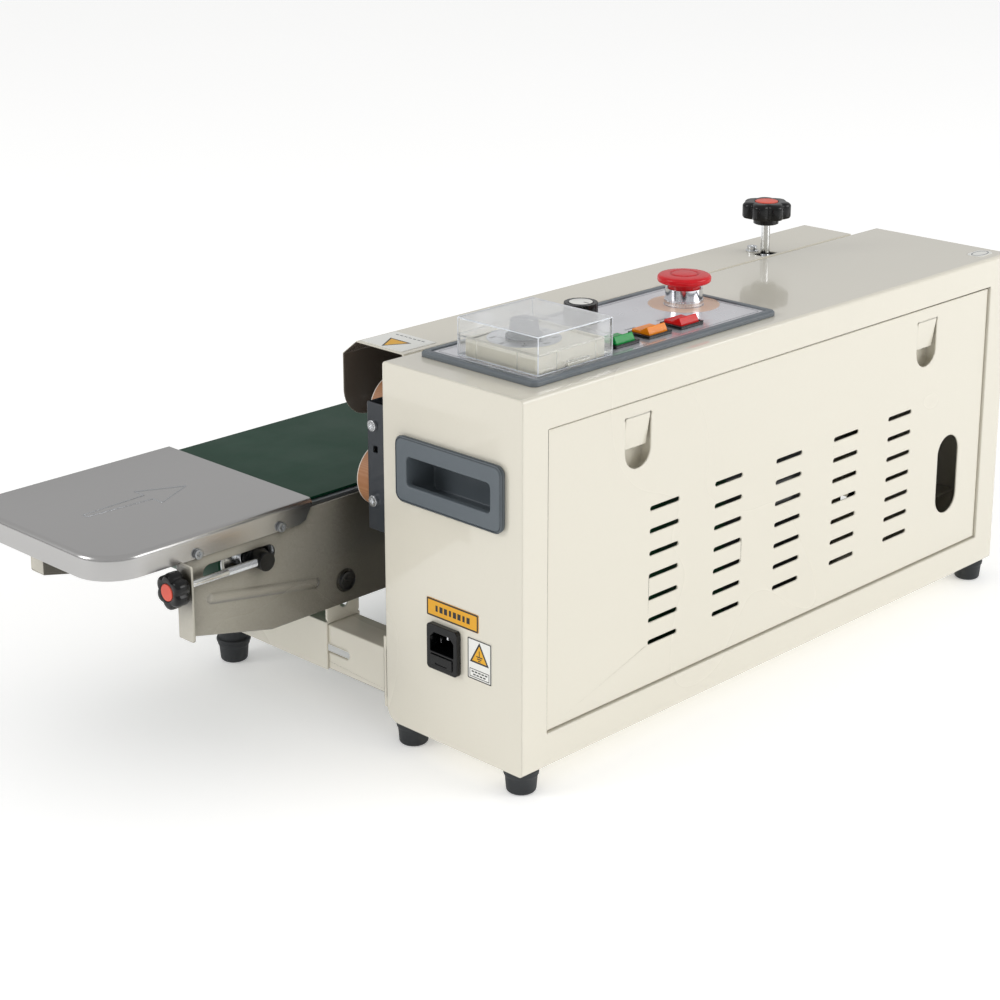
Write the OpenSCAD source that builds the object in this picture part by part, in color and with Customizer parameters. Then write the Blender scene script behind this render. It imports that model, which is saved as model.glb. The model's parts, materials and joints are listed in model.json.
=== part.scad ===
// Continuous band sealer with a belt conveyor, right-hand feed.
// Inside place(), x = 0 is the housing's infeed end, y = 0 its rear face and z = 0 its base,
// so lengths along the machine and towards the operator are negative.

/* [Housing] */
// Length of the housing, from its infeed end to its outfeed end
body_l = 604; // [580:4:640]
// Depth of the housing, from its rear face to its mechanism face
body_w = 140; // [136:2:150]
// Height of the housing above its base
body_h = 280; // [278:1:284]
// Thickness of the housing sheet
sheet_t = 1.5; // [1.2:0.1:2]
// Height of the rubber feet under the housing
foot_h = 18; // [15:1:20]

/* [Conveyor] */
// Width of the conveyor over its side plates
conv_w = 173; // [165:1:180]
// Gap between the housing's mechanism face and the rear side plate
conv_gap = 65; // [63:1:70]
// Length of side plate standing past the housing at each end
conv_reach = 139; // [130:1:150]
// Height of the belt surface above the housing's base
belt_z = 161; // [159:1:162]
// Radius of the conveyor rollers
roller_r = 28; // [26:1:28]
// Width of the conveyor belt
belt_w = 160; // [140:2:160]
// Distance from the housing end to the far end of the infeed plate
infeed_reach = 204; // [195:1:215]

/* [Sealing head] */
// Radius of the band pulleys
pulley_r = 23.4; // [22:0.1:23.5]
// Width of the sealing bands
band_w = 15; // [10:1:16]
// Thickness of the sealing bands
band_t = 1; // [0.6:0.1:1.2]
// Distance between the idler and drive pulley axes
band_span = 360; // [340:2:362]
// Pitch radius of the equal drive gears
gear_r = 26; // [26:1:26]
// Teeth on each drive gear
gear_teeth = 26; // [26:1:26]

/* [Controls] */
// Diameter of the emergency stop head
estop_d = 42; // [38:1:44]
// Distance between neighbouring rocker switches
rocker_pitch = 36.5; // [34:0.5:37]
// Diameter of the pressure knob
star_d = 42; // [38:1:44]

/* [Hidden] */
$fn = 64;

run_fit = 0.05;
body_gap = 0.3;

// Overall frame: origin under the middle of the whole machine
knob_d = 28;
knob_h = 16;
star_h = 19.6;
rear_side_y = -(body_w + conv_gap);
front_side_y = rear_side_y - conv_w;
conv_y = (rear_side_y + front_side_y) / 2;
rod_out = 7.5;
total_l = infeed_reach + body_l + conv_reach;
knob_half = knob_d / 2 * (0.3 + 0.7 * sin(60));
total_w = -front_side_y + rod_out + knob_half;
end_x = total_l / 2 - infeed_reach;
back_y = total_w / 2;
mid_x = -body_l / 2;

// Housing
edge_r = 3;
front_corner_r = 12;
rear_margin = 26;
rear_open_l = body_l - 2 * rear_margin;
rear_open_h = body_h - 2 * rear_margin;
panel_inset = 2;
panel_seam = 2.6;
lip_depth = 8;
base_t = 2;
plate_t = 4;
plate_y = -body_w + sheet_t;
foot_inset = 14;
foot_r = 13;
foot_taper_r = 11;

// Rear panel details
vent_cols = 5;
vent_rows = 7;
vent_pitch_x = 75;
vent_pitch_z = 17.6;
vent_l = 33;
vent_h = 3.6;
vent_z = 114;
tab_w = 28;
tab_h = 26;
tab_xs = [-122, -487];
tab_depth = 11;
tab_top = 242;
access_l = 70;
access_w = 31;
access_x = 529;
access_z = 97;

// End panel details
handle_l = 107;
handle_h = 49.5;
handle_t = 4.5;
handle_z = 205;
handle_y = -69.5;
grip_l = 84;
grip_h = 22;
grip_z = 204.5;
pocket_depth = 26;
inlet_y = -76.2;
inlet_z = 77;
inlet_w = 31;
inlet_h = 35;

// Control panel
bezel_x1 = 27;
bezel_l = 271;
bezel_w = 115;
bezel_y = -72.5;
bezel_h = 4.5;
bezel_rim = 6;
panel_z = body_h + 3.5;
bezel_x = -(bezel_x1 + bezel_l / 2);
ctrl_x = -77;
ctrl_y = -62;
cover_l = 78;
cover_w = 80;
cover_h = 29;
cover_t = 1.6;
cover_axis_h = 4;
ctrl_h = 14;
dial_x = -72;
dial_y = -68;
speed_x = -168;
speed_y = -101;
estop_x = -265;
estop_y = -81;
rocker_x = -179.5;
rocker_y = -42;
rocker_l = 27.5;
rocker_w = 21;
rocker_h = 2.6;
rocker_body_l = 23;
rocker_body_w = 19.9;
rocker_tilt = 14;
rocker_pivot = -1;

// Sealing head
band_r = pulley_r + body_gap + band_t;
seal_gap = 0.7;
gear_drop = 2 * band_r + seal_gap;
pulley_shift = sqrt(4 * gear_r * gear_r - gear_drop * gear_drop);
low_z = 178;
up_z = low_z + gear_drop;
low_idler_x = -34;
up_idler_x = low_idler_x - pulley_shift;
low_drive_x = low_idler_x - band_span;
up_drive_x = up_idler_x - band_span;
pulley_w = band_w + 1;
pulley_y1 = -(body_w + 40);
pulley_y2 = pulley_y1 + pulley_w;
pulley_mid_y = (pulley_y1 + pulley_y2) / 2;
stud_r = 5;
shaft_r = 6;
low_run_z = low_z + band_r;
up_run_z = up_z - band_r;
gear_y = -body_w + 16;
gear_w = 8;
motor_gear_z = low_z - 2 * gear_r;

// Pressure knob and embossing wheels
press_x = -455;
press_y = -(body_w + 9);
press_rod_r = 4;
wheel_r = 20;
wheel_shaft_r = 4;
up_wheel_z = up_run_z + wheel_r;
low_wheel_z = low_run_z - wheel_r;
carriage_z1 = up_wheel_z - 12;
carriage_z2 = up_wheel_z + 20;
bridge_z = 269;
cup_z = 261.5;
knob_z = 306.4;

// Guard
guard_x1 = -22;
guard_x2 = -(body_l - 35);
guard_t = 1.2;
guard_y = -(body_w + 67.5);
guard_rear_y = -(body_w + 1.9);
guard_z = 216;
guard_corner_r = 24;
guard_posts = [-110, -310, -530];
guard_post_z = 263.6;

// Conveyor
side_t = 2;
side_top = belt_z - 5;
side_bottom = 70;
side_end_bottom = 89;
taper_l = 84;
plate_end = conv_reach;
flange_w = 15;
flange_top = 147;
belt_t = 2;
belt_in_r = roller_r + body_gap;
belt_out_r = belt_in_r + belt_t;
roller_z = belt_z - belt_out_r;
tail_x = 68;
drive_x = -(body_l + tail_x);
axle_r = 5;
slot_l = 67;
slot_h = 13.5;
slot_x = tail_x + 15.5;
rib_tilt = 9.4;
rib_l = 108;
rib_w = 9;
bush_x = -18.7;
bush_z = 88.3;
bush_r = 9;
rod_r = 3;
infeed_x1 = 15;
infeed_skirt = 18;
infeed_corner_r = 32;
infeed_t = 1.5;
infeed_y1 = rear_side_y + 2;
infeed_y2 = front_side_y - 2;
infeed_z = belt_z + 1.5;

// Support arms and sliding brackets
bracket_w = 34.4;
bracket_t = 1.7;
bracket_z1 = 19;
bracket_z2 = 58;
arm_t = 2.5;
arm_end = body_w + 218;
bracket_rear = rear_side_y - side_t - body_gap;
bracket_front = front_side_y + side_t + body_gap;
tab_top_z = 108;
lock_y = -(body_w + 171);
lock_z = 37;
arm_slot_h = 8;
arm_slot_y = 184;
bracket_foot_y = -(body_w + 202);

// Moves a child from machine coordinates to the frame of the whole machine
module place() translate([end_x, back_y, foot_h]) children();

// Copies a child at the infeed end onto the outfeed end of the housing
module both_ends() {
  children();
  translate([2 * mid_x, 0, 0]) mirror([1, 0, 0]) children();
}

// Copies a child on the conveyor's rear side onto its front side
module both_sides() {
  children();
  translate([0, 2 * conv_y, 0]) mirror([0, 1, 0]) children();
}

module rod_x(y, z, r, x1, x2) {
  translate([x1, y, z]) rotate([0, 90, 0]) cylinder(h = x2 - x1, r = r);
}

module rod_y(x, z, r, y1, y2) {
  translate([x, y2, z]) rotate([90, 0, 0]) cylinder(h = y2 - y1, r = r);
}

module rod_z(x, y, r, z1, z2) {
  translate([x, y, z1]) cylinder(h = z2 - z1, r = r);
}

// Box between two corners
module block(x1, x2, y1, y2, z1, z2) {
  translate([x1, y1, z1]) cube([x2 - x1, y2 - y1, z2 - z1]);
}

// Sheet standing across y, drawn as (x, z), from y down to y - t
module wall_y(y, t) translate([0, y, 0]) rotate([90, 0, 0]) linear_extrude(t) children();

// Sheet standing across x, drawn as (y, z), from x up to x + t
module wall_x(x, t) translate([x, 0, 0]) rotate([90, 0, 90]) linear_extrude(t) children();

module rounded_rect(w, h, r) {
  square([w - 2 * r, h], center = true);
  square([w, h - 2 * r], center = true);
  for (sx = [-1, 1], sy = [-1, 1]) {
    translate([sx * (w / 2 - r), sy * (h / 2 - r)]) circle(r = r);
  }
}

module oblong(l, w) {
  square([l - w, w], center = true);
  for (s = [-1, 1]) translate([s * (l - w) / 2, 0]) circle(d = w);
}

// Closed loop around two equal round ends
module loop2d(span, r, t) {
  difference() {
    oblong(span + 2 * (r + t), 2 * (r + t));
    oblong(span + 2 * r, 2 * r);
  }
}

// Pan head screw standing on a face at the origin, head towards +z
module pan_screw(head_r = 3.6, head_h = 2.4, shank = 6) {
  difference() {
    cylinder(h = head_h, r = head_r);
    translate([-head_r / 2, -0.5, head_h - 1]) cube([head_r, 1, 2]);
    translate([-0.5, -head_r / 2, head_h - 1]) cube([1, head_r, 2]);
  }
  translate([0, 0, -shank]) cylinder(h = shank + 0.2, r = head_r * 0.5);
}

// Outline of a lobed grip
module star2d(d, lobes) {
  lobe_r = d * 0.15;
  circle(r = d / 2 - lobe_r * 0.6);
  for (i = [0:lobes - 1]) rotate(i * 360 / lobes) translate([d / 2 - lobe_r, 0]) circle(r = lobe_r);
}

// Lobed grip with its hub below, standing on z = 0, and a cap disc set into its top
module star_grip(d, h, lobes, hub_r, hub_h) {
  recess = 1;
  translate([0, 0, hub_h]) linear_extrude(h - recess - hub_h) star2d(d, lobes);
  translate([0, 0, h - recess - 0.01]) linear_extrude(recess + 0.01) difference() {
    star2d(d, lobes);
    circle(r = d * 0.28);
  }
  cylinder(h = hub_h + 0.5, r = hub_r);
  translate([0, 0, h - recess - 0.5]) cylinder(h = recess + 0.9, r = d * 0.26);
}

// Spur gear outline with straight-flanked teeth
module gear2d(teeth, pitch_r, phase) {
  module_size = 2 * pitch_r / teeth;
  root_r = pitch_r - 1.3 * module_size;
  tip_r = pitch_r + 0.9 * module_size;
  half_root = 0.36 * 360 / teeth;
  half_tip = 0.13 * 360 / teeth;
  circle(r = root_r + 0.05);
  for (i = [0:teeth - 1]) {
    rotate(i * 360 / teeth + phase) polygon([
      (root_r - 1) * [cos(half_root), -sin(half_root)],
      tip_r * [cos(half_tip), -sin(half_tip)],
      tip_r * [cos(half_tip), sin(half_tip)],
      (root_r - 1) * [cos(half_root), sin(half_root)]]);
  }
}

module drive_gear(x, z, phase) {
  wall_y(gear_y, gear_w) translate([x, z]) difference() {
    gear2d(gear_teeth, gear_r, phase);
    circle(r = shaft_r);
    for (i = [0:4]) rotate(i * 72 + 10) translate([14.5, 0]) circle(r = 4);
  }
}

// Outline of the housing across its length, seen from the infeed end
module housing_profile(inset) {
  w = body_w - 2 * inset;
  h = body_h - 2 * inset;
  corner = front_corner_r - inset;
  translate([-body_w / 2, body_h / 2]) {
    difference() {
      rounded_rect(w, h, edge_r - inset);
      translate([-w / 2 - 1, -h / 2 - 1]) square(corner + 1);
    }
    translate([-w / 2 + corner, -h / 2 + corner]) circle(r = corner);
  }
}

module main_housing() color("cornsilk") place() {
  open_x = -body_l + rear_margin;
  difference() {
    wall_x(-body_l, body_l) housing_profile(0);
    wall_x(-body_l + sheet_t, body_l - 2 * sheet_t) housing_profile(sheet_t);
    // rear opening
    wall_y(1, 4) translate([mid_x, body_h / 2]) square([rear_open_l, rear_open_h], center = true);
    // mechanism opening in the front
    block(-body_l + 12, -12, -body_w - 1, -body_w + 3, 76, body_h - 12);
    // ways out for the support arms
    both_ends() block(-36, -1.6, -body_w - 1, -body_w + 3, 16, 60);
    // base opening
    block(-body_l + 12, -12, -body_w + 14, -12, -1, 3);
    // handle pockets
    both_ends() wall_x(-4, 5) translate([handle_y, grip_z]) rounded_rect(grip_l + 4.4, grip_h + 22.4, 6);
    // power inlet
    wall_x(-4, 5) translate([inlet_y, inlet_z]) square([inlet_w - 4, inlet_h - 6], center = true);
    // controls
    translate([0, 0, body_h - 4]) linear_extrude(5) {
      translate([ctrl_x, ctrl_y]) square(60, center = true);
      translate([speed_x, speed_y]) circle(r = 5);
      translate([estop_x, estop_y]) circle(r = 11.2);
      for (i = [-1:1]) translate([rocker_x + i * rocker_pitch, rocker_y]) square([24.6, 20.4], center = true);
    }
  }
  // folded lip round the rear opening
  wall_y(-sheet_t + 0.2, lip_depth) translate([mid_x, body_h / 2]) difference() {
    square([rear_open_l + 2 * sheet_t, rear_open_h + 2 * sheet_t], center = true);
    square([rear_open_l, rear_open_h], center = true);
  }
}

// Opening behind a finger tab, hung from its top edge
module tab_opening(x) {
  translate([x, 0]) {
    translate([-tab_w / 2, tab_top - tab_h]) square([tab_w, tab_h]);
    translate([0, tab_top - tab_h]) intersection() {
      circle(r = tab_w / 2);
      translate([-tab_w, -2 * tab_w]) square([2 * tab_w, 2 * tab_w + 0.5]);
    }
    for (s = [-1, 1]) translate([s * (tab_w / 2 - 0.6), tab_top - 0.8]) circle(r = 1.3);
  }
}

module rear_panel() color("cornsilk") place() {
  wall_y(-panel_inset, sheet_t) difference() {
    translate([mid_x, body_h / 2]) square([rear_open_l - panel_seam, rear_open_h - panel_seam], center = true);
    for (c = [0:vent_cols - 1], r = [0:vent_rows - 1]) {
      translate([-153.5 - c * vent_pitch_x, vent_z + (r - 3) * vent_pitch_z]) oblong(vent_l, vent_h);
    }
    for (x = tab_xs) tab_opening(x);
    translate([-access_x, access_z]) rotate(90) oblong(access_l, access_w);
  }
  for (x = tab_xs) {
    // finger tab, bent inwards from its top edge
    translate([x, -panel_inset, tab_top]) rotate([-9, 0, 0])
      block(-tab_w / 2 + 0.8, tab_w / 2 - 0.8, -sheet_t, 0, -tab_h + 0.5, 0.1);
    // pocket behind the tab
    wall_y(-panel_inset - sheet_t + 0.2, tab_depth) translate([x, tab_top - 20.5]) difference() {
      rounded_rect(tab_w + 7, 49, 5);
      rounded_rect(tab_w + 4.6, 46.6, 4);
    }
    wall_y(-panel_inset - sheet_t - tab_depth + 1.2, 1.2) translate([x, tab_top - 20.5]) rounded_rect(tab_w + 7, 49, 5);
  }
  // stiffening flange behind the panel's edge
  wall_y(-panel_inset - sheet_t + 0.2, 5) translate([mid_x, body_h / 2]) difference() {
    square([rear_open_l - panel_seam, rear_open_h - panel_seam], center = true);
    square([rear_open_l - panel_seam - 2.6, rear_open_h - panel_seam - 2.6], center = true);
  }
}

module mechanism_plate() color("gainsboro") place() {
  difference() {
    wall_y(plate_y + plate_t, plate_t)
      translate([mid_x, 174]) square([body_l - 2 * sheet_t - 4, 200], center = true);
    for (p = [[low_drive_x, low_z], [up_drive_x, up_z]]) rod_y(p[0], p[1], 12.1, -body_w - 2, -body_w + 10);
    for (p = [[low_idler_x, low_z], [up_idler_x, up_z], [press_x, low_wheel_z]])
      rod_y(p[0], p[1], 4, -body_w - 2, -body_w + 10);
    rod_y(low_drive_x, motor_gear_z, 16, -body_w - 2, -body_w + 10);
  }
  // posts that carry the heating and cooling blocks
  for (x = [-118, -158, -208, -248, -298, -338], z = [low_run_z - 14, up_run_z + 14]) {
    rod_y(x, z, 3.5, pulley_y2 - 0.5, plate_y);
  }
  // posts that carry the guard
  for (x = guard_posts) rod_y(x, guard_post_z, 3.5, guard_y + guard_t, plate_y + 0.5);
}

module base_plate() color("cornsilk") place() {
  block(-body_l + 3, -3, -body_w + 13.2, -4, sheet_t, sheet_t + base_t);
  // strut behind the access slot
  block(-access_x - 20, -access_x + 20, -29, -27, sheet_t, access_z + 40);
}

// Rubber foot hanging below z = 0 of its own place
module rubber_foot() {
  rotate_extrude() polygon([[0, 0], [foot_r, 0], [foot_r, -4], [foot_r - 1, -5],
    [foot_taper_r, -foot_h + 1.5], [foot_taper_r - 1.5, -foot_h], [3.4, -foot_h],
    [3.4, -foot_h + 4], [0, -foot_h + 4]]);
}

module housing_feet() color("dimgray") place() {
  for (x = [-foot_inset, -body_l + foot_inset], y = [-foot_inset, -body_w + foot_inset]) {
    translate([x, y, 0]) rubber_foot();
  }
}

module end_handles() color("slategray") place() both_ends() {
  difference() {
    union() {
      wall_x(0, handle_t - 1) translate([handle_y, handle_z]) rounded_rect(handle_l, handle_h, 7);
      wall_x(0, handle_t) translate([handle_y, handle_z]) rounded_rect(handle_l - 2, handle_h - 2, 6);
      wall_x(-pocket_depth, pocket_depth + 1)
        translate([handle_y, grip_z]) rounded_rect(grip_l + 4, grip_h + 22, 6);
    }
    // mouth of the pocket
    wall_x(-3, 8) translate([handle_y, grip_z]) rounded_rect(grip_l, grip_h, 3.5);
    // space behind the grip
    wall_x(-pocket_depth + 2, pocket_depth - 3.5)
      translate([handle_y, grip_z]) rounded_rect(grip_l, grip_h + 18, 5);
  }
}

module power_inlet() {
  color("black") place() difference() {
    union() {
      wall_x(0, 4.5) translate([inlet_y, inlet_z]) rounded_rect(inlet_w, inlet_h, 3);
      wall_x(-22, 22.5) translate([inlet_y, inlet_z]) square([inlet_w - 5, inlet_h - 7], center = true);
    }
    // socket with its two cut corners
    wall_x(-14, 19) translate([inlet_y, inlet_z + 4]) polygon([[-12, -7.5], [12, -7.5],
      [12, 3.5], [8, 7.5], [-8, 7.5], [-12, 3.5]]);
    // bay for the fuse drawer
    wall_x(-18, 24) translate([inlet_y, inlet_z - 9.5]) square([22.6, 8.6], center = true);
  }
  // contact blades
  color("silver") place() for (p = [[-7, 3], [7, 3], [0, 7]]) {
    block(-15, -2, inlet_y + p[0] - 1, inlet_y + p[0] + 1, inlet_z + p[1] - 2, inlet_z + p[1] + 2);
  }
}

module fuse_drawer() color("black") place() {
  difference() {
    block(-17, 5.3, inlet_y - 11, inlet_y + 11, inlet_z - 13.5, inlet_z - 5.5);
    block(4.5, 6, inlet_y - 6, inlet_y + 6, inlet_z - 12.5, inlet_z - 11.2);
    block(-15, -1, inlet_y - 9.5, inlet_y + 9.5, inlet_z - 12, inlet_z - 5);
  }
  rod_y(-8, inlet_z - 9, 2.6, inlet_y - 9.6, inlet_y + 9.6);
}

module labels() color("gold") place() {
  wall_x(0, 0.5) translate([-69, 105.3]) rounded_rect(52.5, 13.8, 1);
  wall_x(0, 0.5) translate([-41.5, 77.8]) rounded_rect(23.4, 31.2, 1);
  translate([-42.5, -168, body_h]) linear_extrude(0.4) rounded_rect(35, 44, 1);
  translate([-583, -16, body_h]) linear_extrude(0.4) oblong(26, 15);
}

module panel_outline(inset) {
  translate([bezel_x, bezel_y]) rounded_rect(bezel_l - 2 * inset, bezel_w - 2 * inset, max(5 - inset, 1));
}

module panel_bezel() color("slategray") place() translate([0, 0, body_h]) difference() {
  union() {
    linear_extrude(bezel_h - 1) panel_outline(0);
    linear_extrude(bezel_h) panel_outline(1.2);
  }
  translate([0, 0, 1.5]) linear_extrude(bezel_h) panel_outline(bezel_rim);
  translate([0, 0, -1]) linear_extrude(4) panel_outline(bezel_rim + 3);
}

module control_cutouts() {
  translate([ctrl_x, ctrl_y]) square(58, center = true);
  translate([speed_x, speed_y]) circle(r = 4);
  translate([estop_x, estop_y]) circle(r = 11);
  for (i = [-1:1]) translate([rocker_x + i * rocker_pitch, rocker_y]) square([rocker_body_l + 0.6, rocker_body_w + 0.4], center = true);
}

module panel_plate() color("silver") place() {
  translate([0, 0, panel_z - 2]) linear_extrude(2) difference() {
    panel_outline(bezel_rim + 0.2);
    control_cutouts();
  }
}

module controller_base() {
  color("antiquewhite") place() {
    difference() {
      translate([ctrl_x, ctrl_y, panel_z]) linear_extrude(ctrl_h) rounded_rect(72, 70, 2);
      translate([ctrl_x, ctrl_y, panel_z + ctrl_h - 2]) linear_extrude(3) rounded_rect(66, 64, 1);
      rod_z(dial_x, dial_y, 3.3, panel_z, panel_z + ctrl_h + 1);
    }
    translate([ctrl_x, ctrl_y, body_h - 45]) linear_extrude(44 + panel_z - body_h + 1.2) square(56, center = true);
  }
  color("white") place() difference() {
    union() {
      translate([ctrl_x, ctrl_y, panel_z + ctrl_h - 2]) linear_extrude(0.8) rounded_rect(65, 63, 1);
      rod_z(dial_x, dial_y, 27, panel_z + ctrl_h - 1.4, panel_z + ctrl_h - 0.2);
    }
    rod_z(dial_x, dial_y, 3.3, panel_z, panel_z + ctrl_h + 1);
  }
}

module clear_cover() color("lightcyan", 0.35) place() translate([ctrl_x, ctrl_y, panel_z + body_gap]) {
  difference() {
    union() {
      linear_extrude(cover_h) rounded_rect(cover_l, cover_w, 1.5);
      // step and ribs round the lower half
      translate([0, 0, 15]) linear_extrude(1) rounded_rect(cover_l + 1, cover_w + 1, 2);
      for (s = [-1, 1]) {
        block(-cover_l / 2 - 0.5, cover_l / 2 + 0.5, s * 20 - 0.5, s * 20 + 0.5, 0, 15.5);
        block(s * 20 - 0.5, s * 20 + 0.5, -cover_w / 2 - 0.5, cover_w / 2 + 0.5, 0, 15.5);
      }
    }
    translate([0, 0, -cover_t]) linear_extrude(cover_h) rounded_rect(cover_l - 2 * cover_t, cover_w - 2 * cover_t, 1);
  }
  // hinge barrel along the rear edge
  rod_x(cover_w / 2 + 1, cover_axis_h, 2, -12, 12);
}

module temperature_knob() color("slategray") place() translate([dial_x, dial_y, panel_z + ctrl_h + 0.1]) {
  difference() {
    union() {
      cylinder(h = 2, r = 13.5);
      cylinder(h = 12.6, r1 = 11.2, r2 = 10.2);
    }
    translate([-0.6, 5, 11.8]) cube([1.2, 8, 2]);
  }
  translate([0, 0, -12]) cylinder(h = 12.5, r = 3);
}

module speed_knob() {
  color("black") place() translate([speed_x, speed_y, panel_z + body_gap]) {
    difference() {
      cylinder(h = 15.5, r = 13);
      for (i = [0:17]) rotate([0, 0, i * 20]) translate([13.6, 0, 2]) cylinder(h = 16, r = 1);
      translate([0, 0, 14.9]) cylinder(h = 2, r = 9.6);
    }
    translate([0, 0, -14]) cylinder(h = 15, r = 3);
  }
  color("white") place() translate([speed_x, speed_y, panel_z + body_gap + 14.8]) cylinder(h = 1, r = 9.4);
}

module estop_collar() color("gainsboro") place() translate([estop_x, estop_y, panel_z]) difference() {
  union() {
    cylinder(h = 4.6, r = 15.3);
    cylinder(h = 13.4, r = 14.6);
    translate([0, 0, -24]) cylinder(h = 25, r = 10.8);
  }
  translate([0, 0, 4]) cylinder(h = 13, r = 12.9);
  translate([0, 0, -20]) cylinder(h = 30, r = 6);
  for (i = [0:47]) rotate([0, 0, i * 7.5]) translate([15.65, 0, 0.8]) cylinder(h = 3, r = 0.5);
}

// Mushroom head on a neck that sinks into the collar
module estop_button() color("red") place() translate([estop_x, estop_y, panel_z]) {
  head_r = estop_d / 2;
  rotate_extrude() polygon([[0, 8.6], [12, 8.6], [12.4, 9], [12.4, 16.8], [13.4, 18], [head_r - 1.4, 18],
    [head_r - 0.4, 18.6], [head_r, 19.6], [head_r, 21.6], [head_r - 0.5, 22.8], [head_r - 1.6, 23.6],
    [16, 24.1], [11.6, 24.4], [11.2, 23.9], [10.2, 23.9], [9.8, 24.5], [5, 24.9], [0, 25]]);
  translate([0, 0, -15]) cylinder(h = 24, r = 5.6);
}

module rocker_bezels() color("black") place() for (i = [-1:1]) {
  translate([rocker_x + i * rocker_pitch, rocker_y, panel_z]) difference() {
    union() {
      linear_extrude(rocker_h) rounded_rect(rocker_l, rocker_w, 1.5);
      translate([0, 0, -16]) linear_extrude(17) square([rocker_body_l, rocker_body_w], center = true);
    }
    translate([0, 0, -10]) linear_extrude(14) square([21.2, 18.6], center = true);
    rod_x(0, rocker_pivot, 1.25, -13, 13);
  }
}

// Rocker with a valley between its two pads, tilted up at the rear at rest
module rocker(i) place() translate([rocker_x + i * rocker_pitch, rocker_y, panel_z + rocker_pivot])
  rotate([rocker_tilt, 0, 0]) {
    translate([-10.2, 0, 0]) rotate([90, 0, 90]) linear_extrude(20.4)
      polygon([[-7.4, -4], [7.4, -4], [9, 0.8], [8.6, 3.6], [7.8, 6], [7.7, 7.2], [7.1, 7.4],
        [0, 5.4], [-7.1, 7.4], [-7.7, 7.2], [-7.8, 6], [-8.6, 3.6], [-9, 0.8]]);
    rod_x(0, 0, 1.2, -11, 11);
  }

module rocker_green() color("seagreen") rocker(1);
module rocker_amber() color("orange") rocker(0);
module rocker_red() color("firebrick") rocker(-1);

// Upper part of the guard across its length; inset 0 is its outer face
module guard_profile(inset) {
  front_y = guard_y + inset;
  polygon([[guard_rear_y, body_h - inset], [-body_w - 52, body_h - inset],
    [front_y, body_h - 12 - inset * 0.4], [front_y, guard_z + guard_corner_r + 4],
    [guard_rear_y, guard_z + guard_corner_r + 4]]);
}

// Lower part of the guard's front sheet, with its large round corners
module guard_skirt2d() {
  r = guard_corner_r;
  translate([guard_x2, guard_z + r]) square([guard_x1 - guard_x2, 5]);
  translate([guard_x2 + r, guard_z]) square([guard_x1 - guard_x2 - 2 * r, r + 1]);
  for (x = [guard_x2 + r, guard_x1 - r]) translate([x, guard_z + r]) circle(r = r);
}

module safety_guard() color("cornsilk") place() {
  difference() {
    wall_x(guard_x2, guard_x1 - guard_x2) guard_profile(0);
    wall_x(guard_x2 - 1, guard_x1 - guard_x2 + 2) guard_profile(guard_t);
    block(guard_x2 - 1, guard_x1 + 1, guard_y + guard_t, guard_rear_y + 1, guard_z, body_h - 25);
    // notch for the pressure rod
    block(press_x - 10, press_x + 10, press_y - 6, press_y + 6, body_h - 4, body_h + 1);
  }
  intersection() {
    wall_y(guard_y + guard_t, guard_t) guard_skirt2d();
    block(guard_x2, guard_x1, guard_y, guard_y + guard_t, guard_z, guard_z + guard_corner_r + 4.5);
  }
  // fixing flange against the housing
  difference() {
    block(guard_x2, guard_x1, guard_rear_y - 0.5, guard_rear_y + guard_t, body_h - 22, body_h);
    block(press_x - 24, press_x + 24, -body_w - 3, -body_w + 1, body_h - 30, body_h - 2.2);
    for (x = guard_posts) rod_y(x, guard_post_z, 4, -body_w - 3, -body_w + 1);
  }
}

module housing_screws() color("silver") place() {
  // guard screws, front sheet and flange
  for (x = guard_posts) {
    translate([x, guard_y, guard_post_z]) rotate([90, 0, 0]) pan_screw(4, 2.6, 1);
    translate([x + 40, -body_w - 1.9, body_h - 6]) rotate([90, 0, 0]) pan_screw(3.2, 2, 1.6);
  }
  // screw beside the pressure knob
  translate([press_x, -body_w - 23, body_h]) {
    cylinder(h = 1, r = 5.6);
    translate([0, 0, 1]) pan_screw(4.3, 3.4, 2);
  }
  // infeed bracket screws
  for (z = [170, 228]) translate([-3, -body_w - 13, z]) rotate([0, 90, 0]) pan_screw(4.2, 2.8, 1.6);
  // screw on the strut behind the access slot
  translate([-access_x + 12, -27, access_z + 22]) rotate([-90, 0, 0]) pan_screw(4, 2.5, 1.5);
}

module infeed_bracket() color("darkslategray") place() {
  y1 = -body_w - 20;
  difference() {
    block(-22, -3, y1, -body_w - 0.5, 147, 245);
    block(-23, -4.8, y1 + 1.8, -body_w - 2.3, 146, 246);
    block(-6, -1, -body_w - 14.5, -body_w - 9.5, 207, 212);
  }
}

module band_loop(x, z) {
  wall_y(pulley_y2 - 0.5, band_w) translate([x - band_span / 2, z]) loop2d(band_span, pulley_r + body_gap, band_t);
}

module upper_band() color("peru") place() band_loop(up_idler_x, up_z);
module lower_band() color("peru") place() band_loop(low_idler_x, low_z);

module idler_studs() color("silver") place() {
  for (p = [[low_idler_x, low_z], [up_idler_x, up_z]]) {
    rod_y(p[0], p[1], stud_r, pulley_y1 - 2.4, plate_y);
    rod_y(p[0], p[1], 8, pulley_y2 + 0.4, plate_y);
    rod_y(p[0], p[1], 3.9, plate_y, plate_y + plate_t + 6);
    // retaining clip
    rod_y(p[0], p[1], 7.5, pulley_y1 - 2.2, pulley_y1 - 0.8);
  }
  rod_y(press_x, low_wheel_z, wheel_shaft_r, pulley_y1 - 2.4, plate_y + plate_t + 4);
  rod_y(press_x, low_wheel_z, 7, pulley_y2 + 0.4, plate_y);
}

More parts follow.
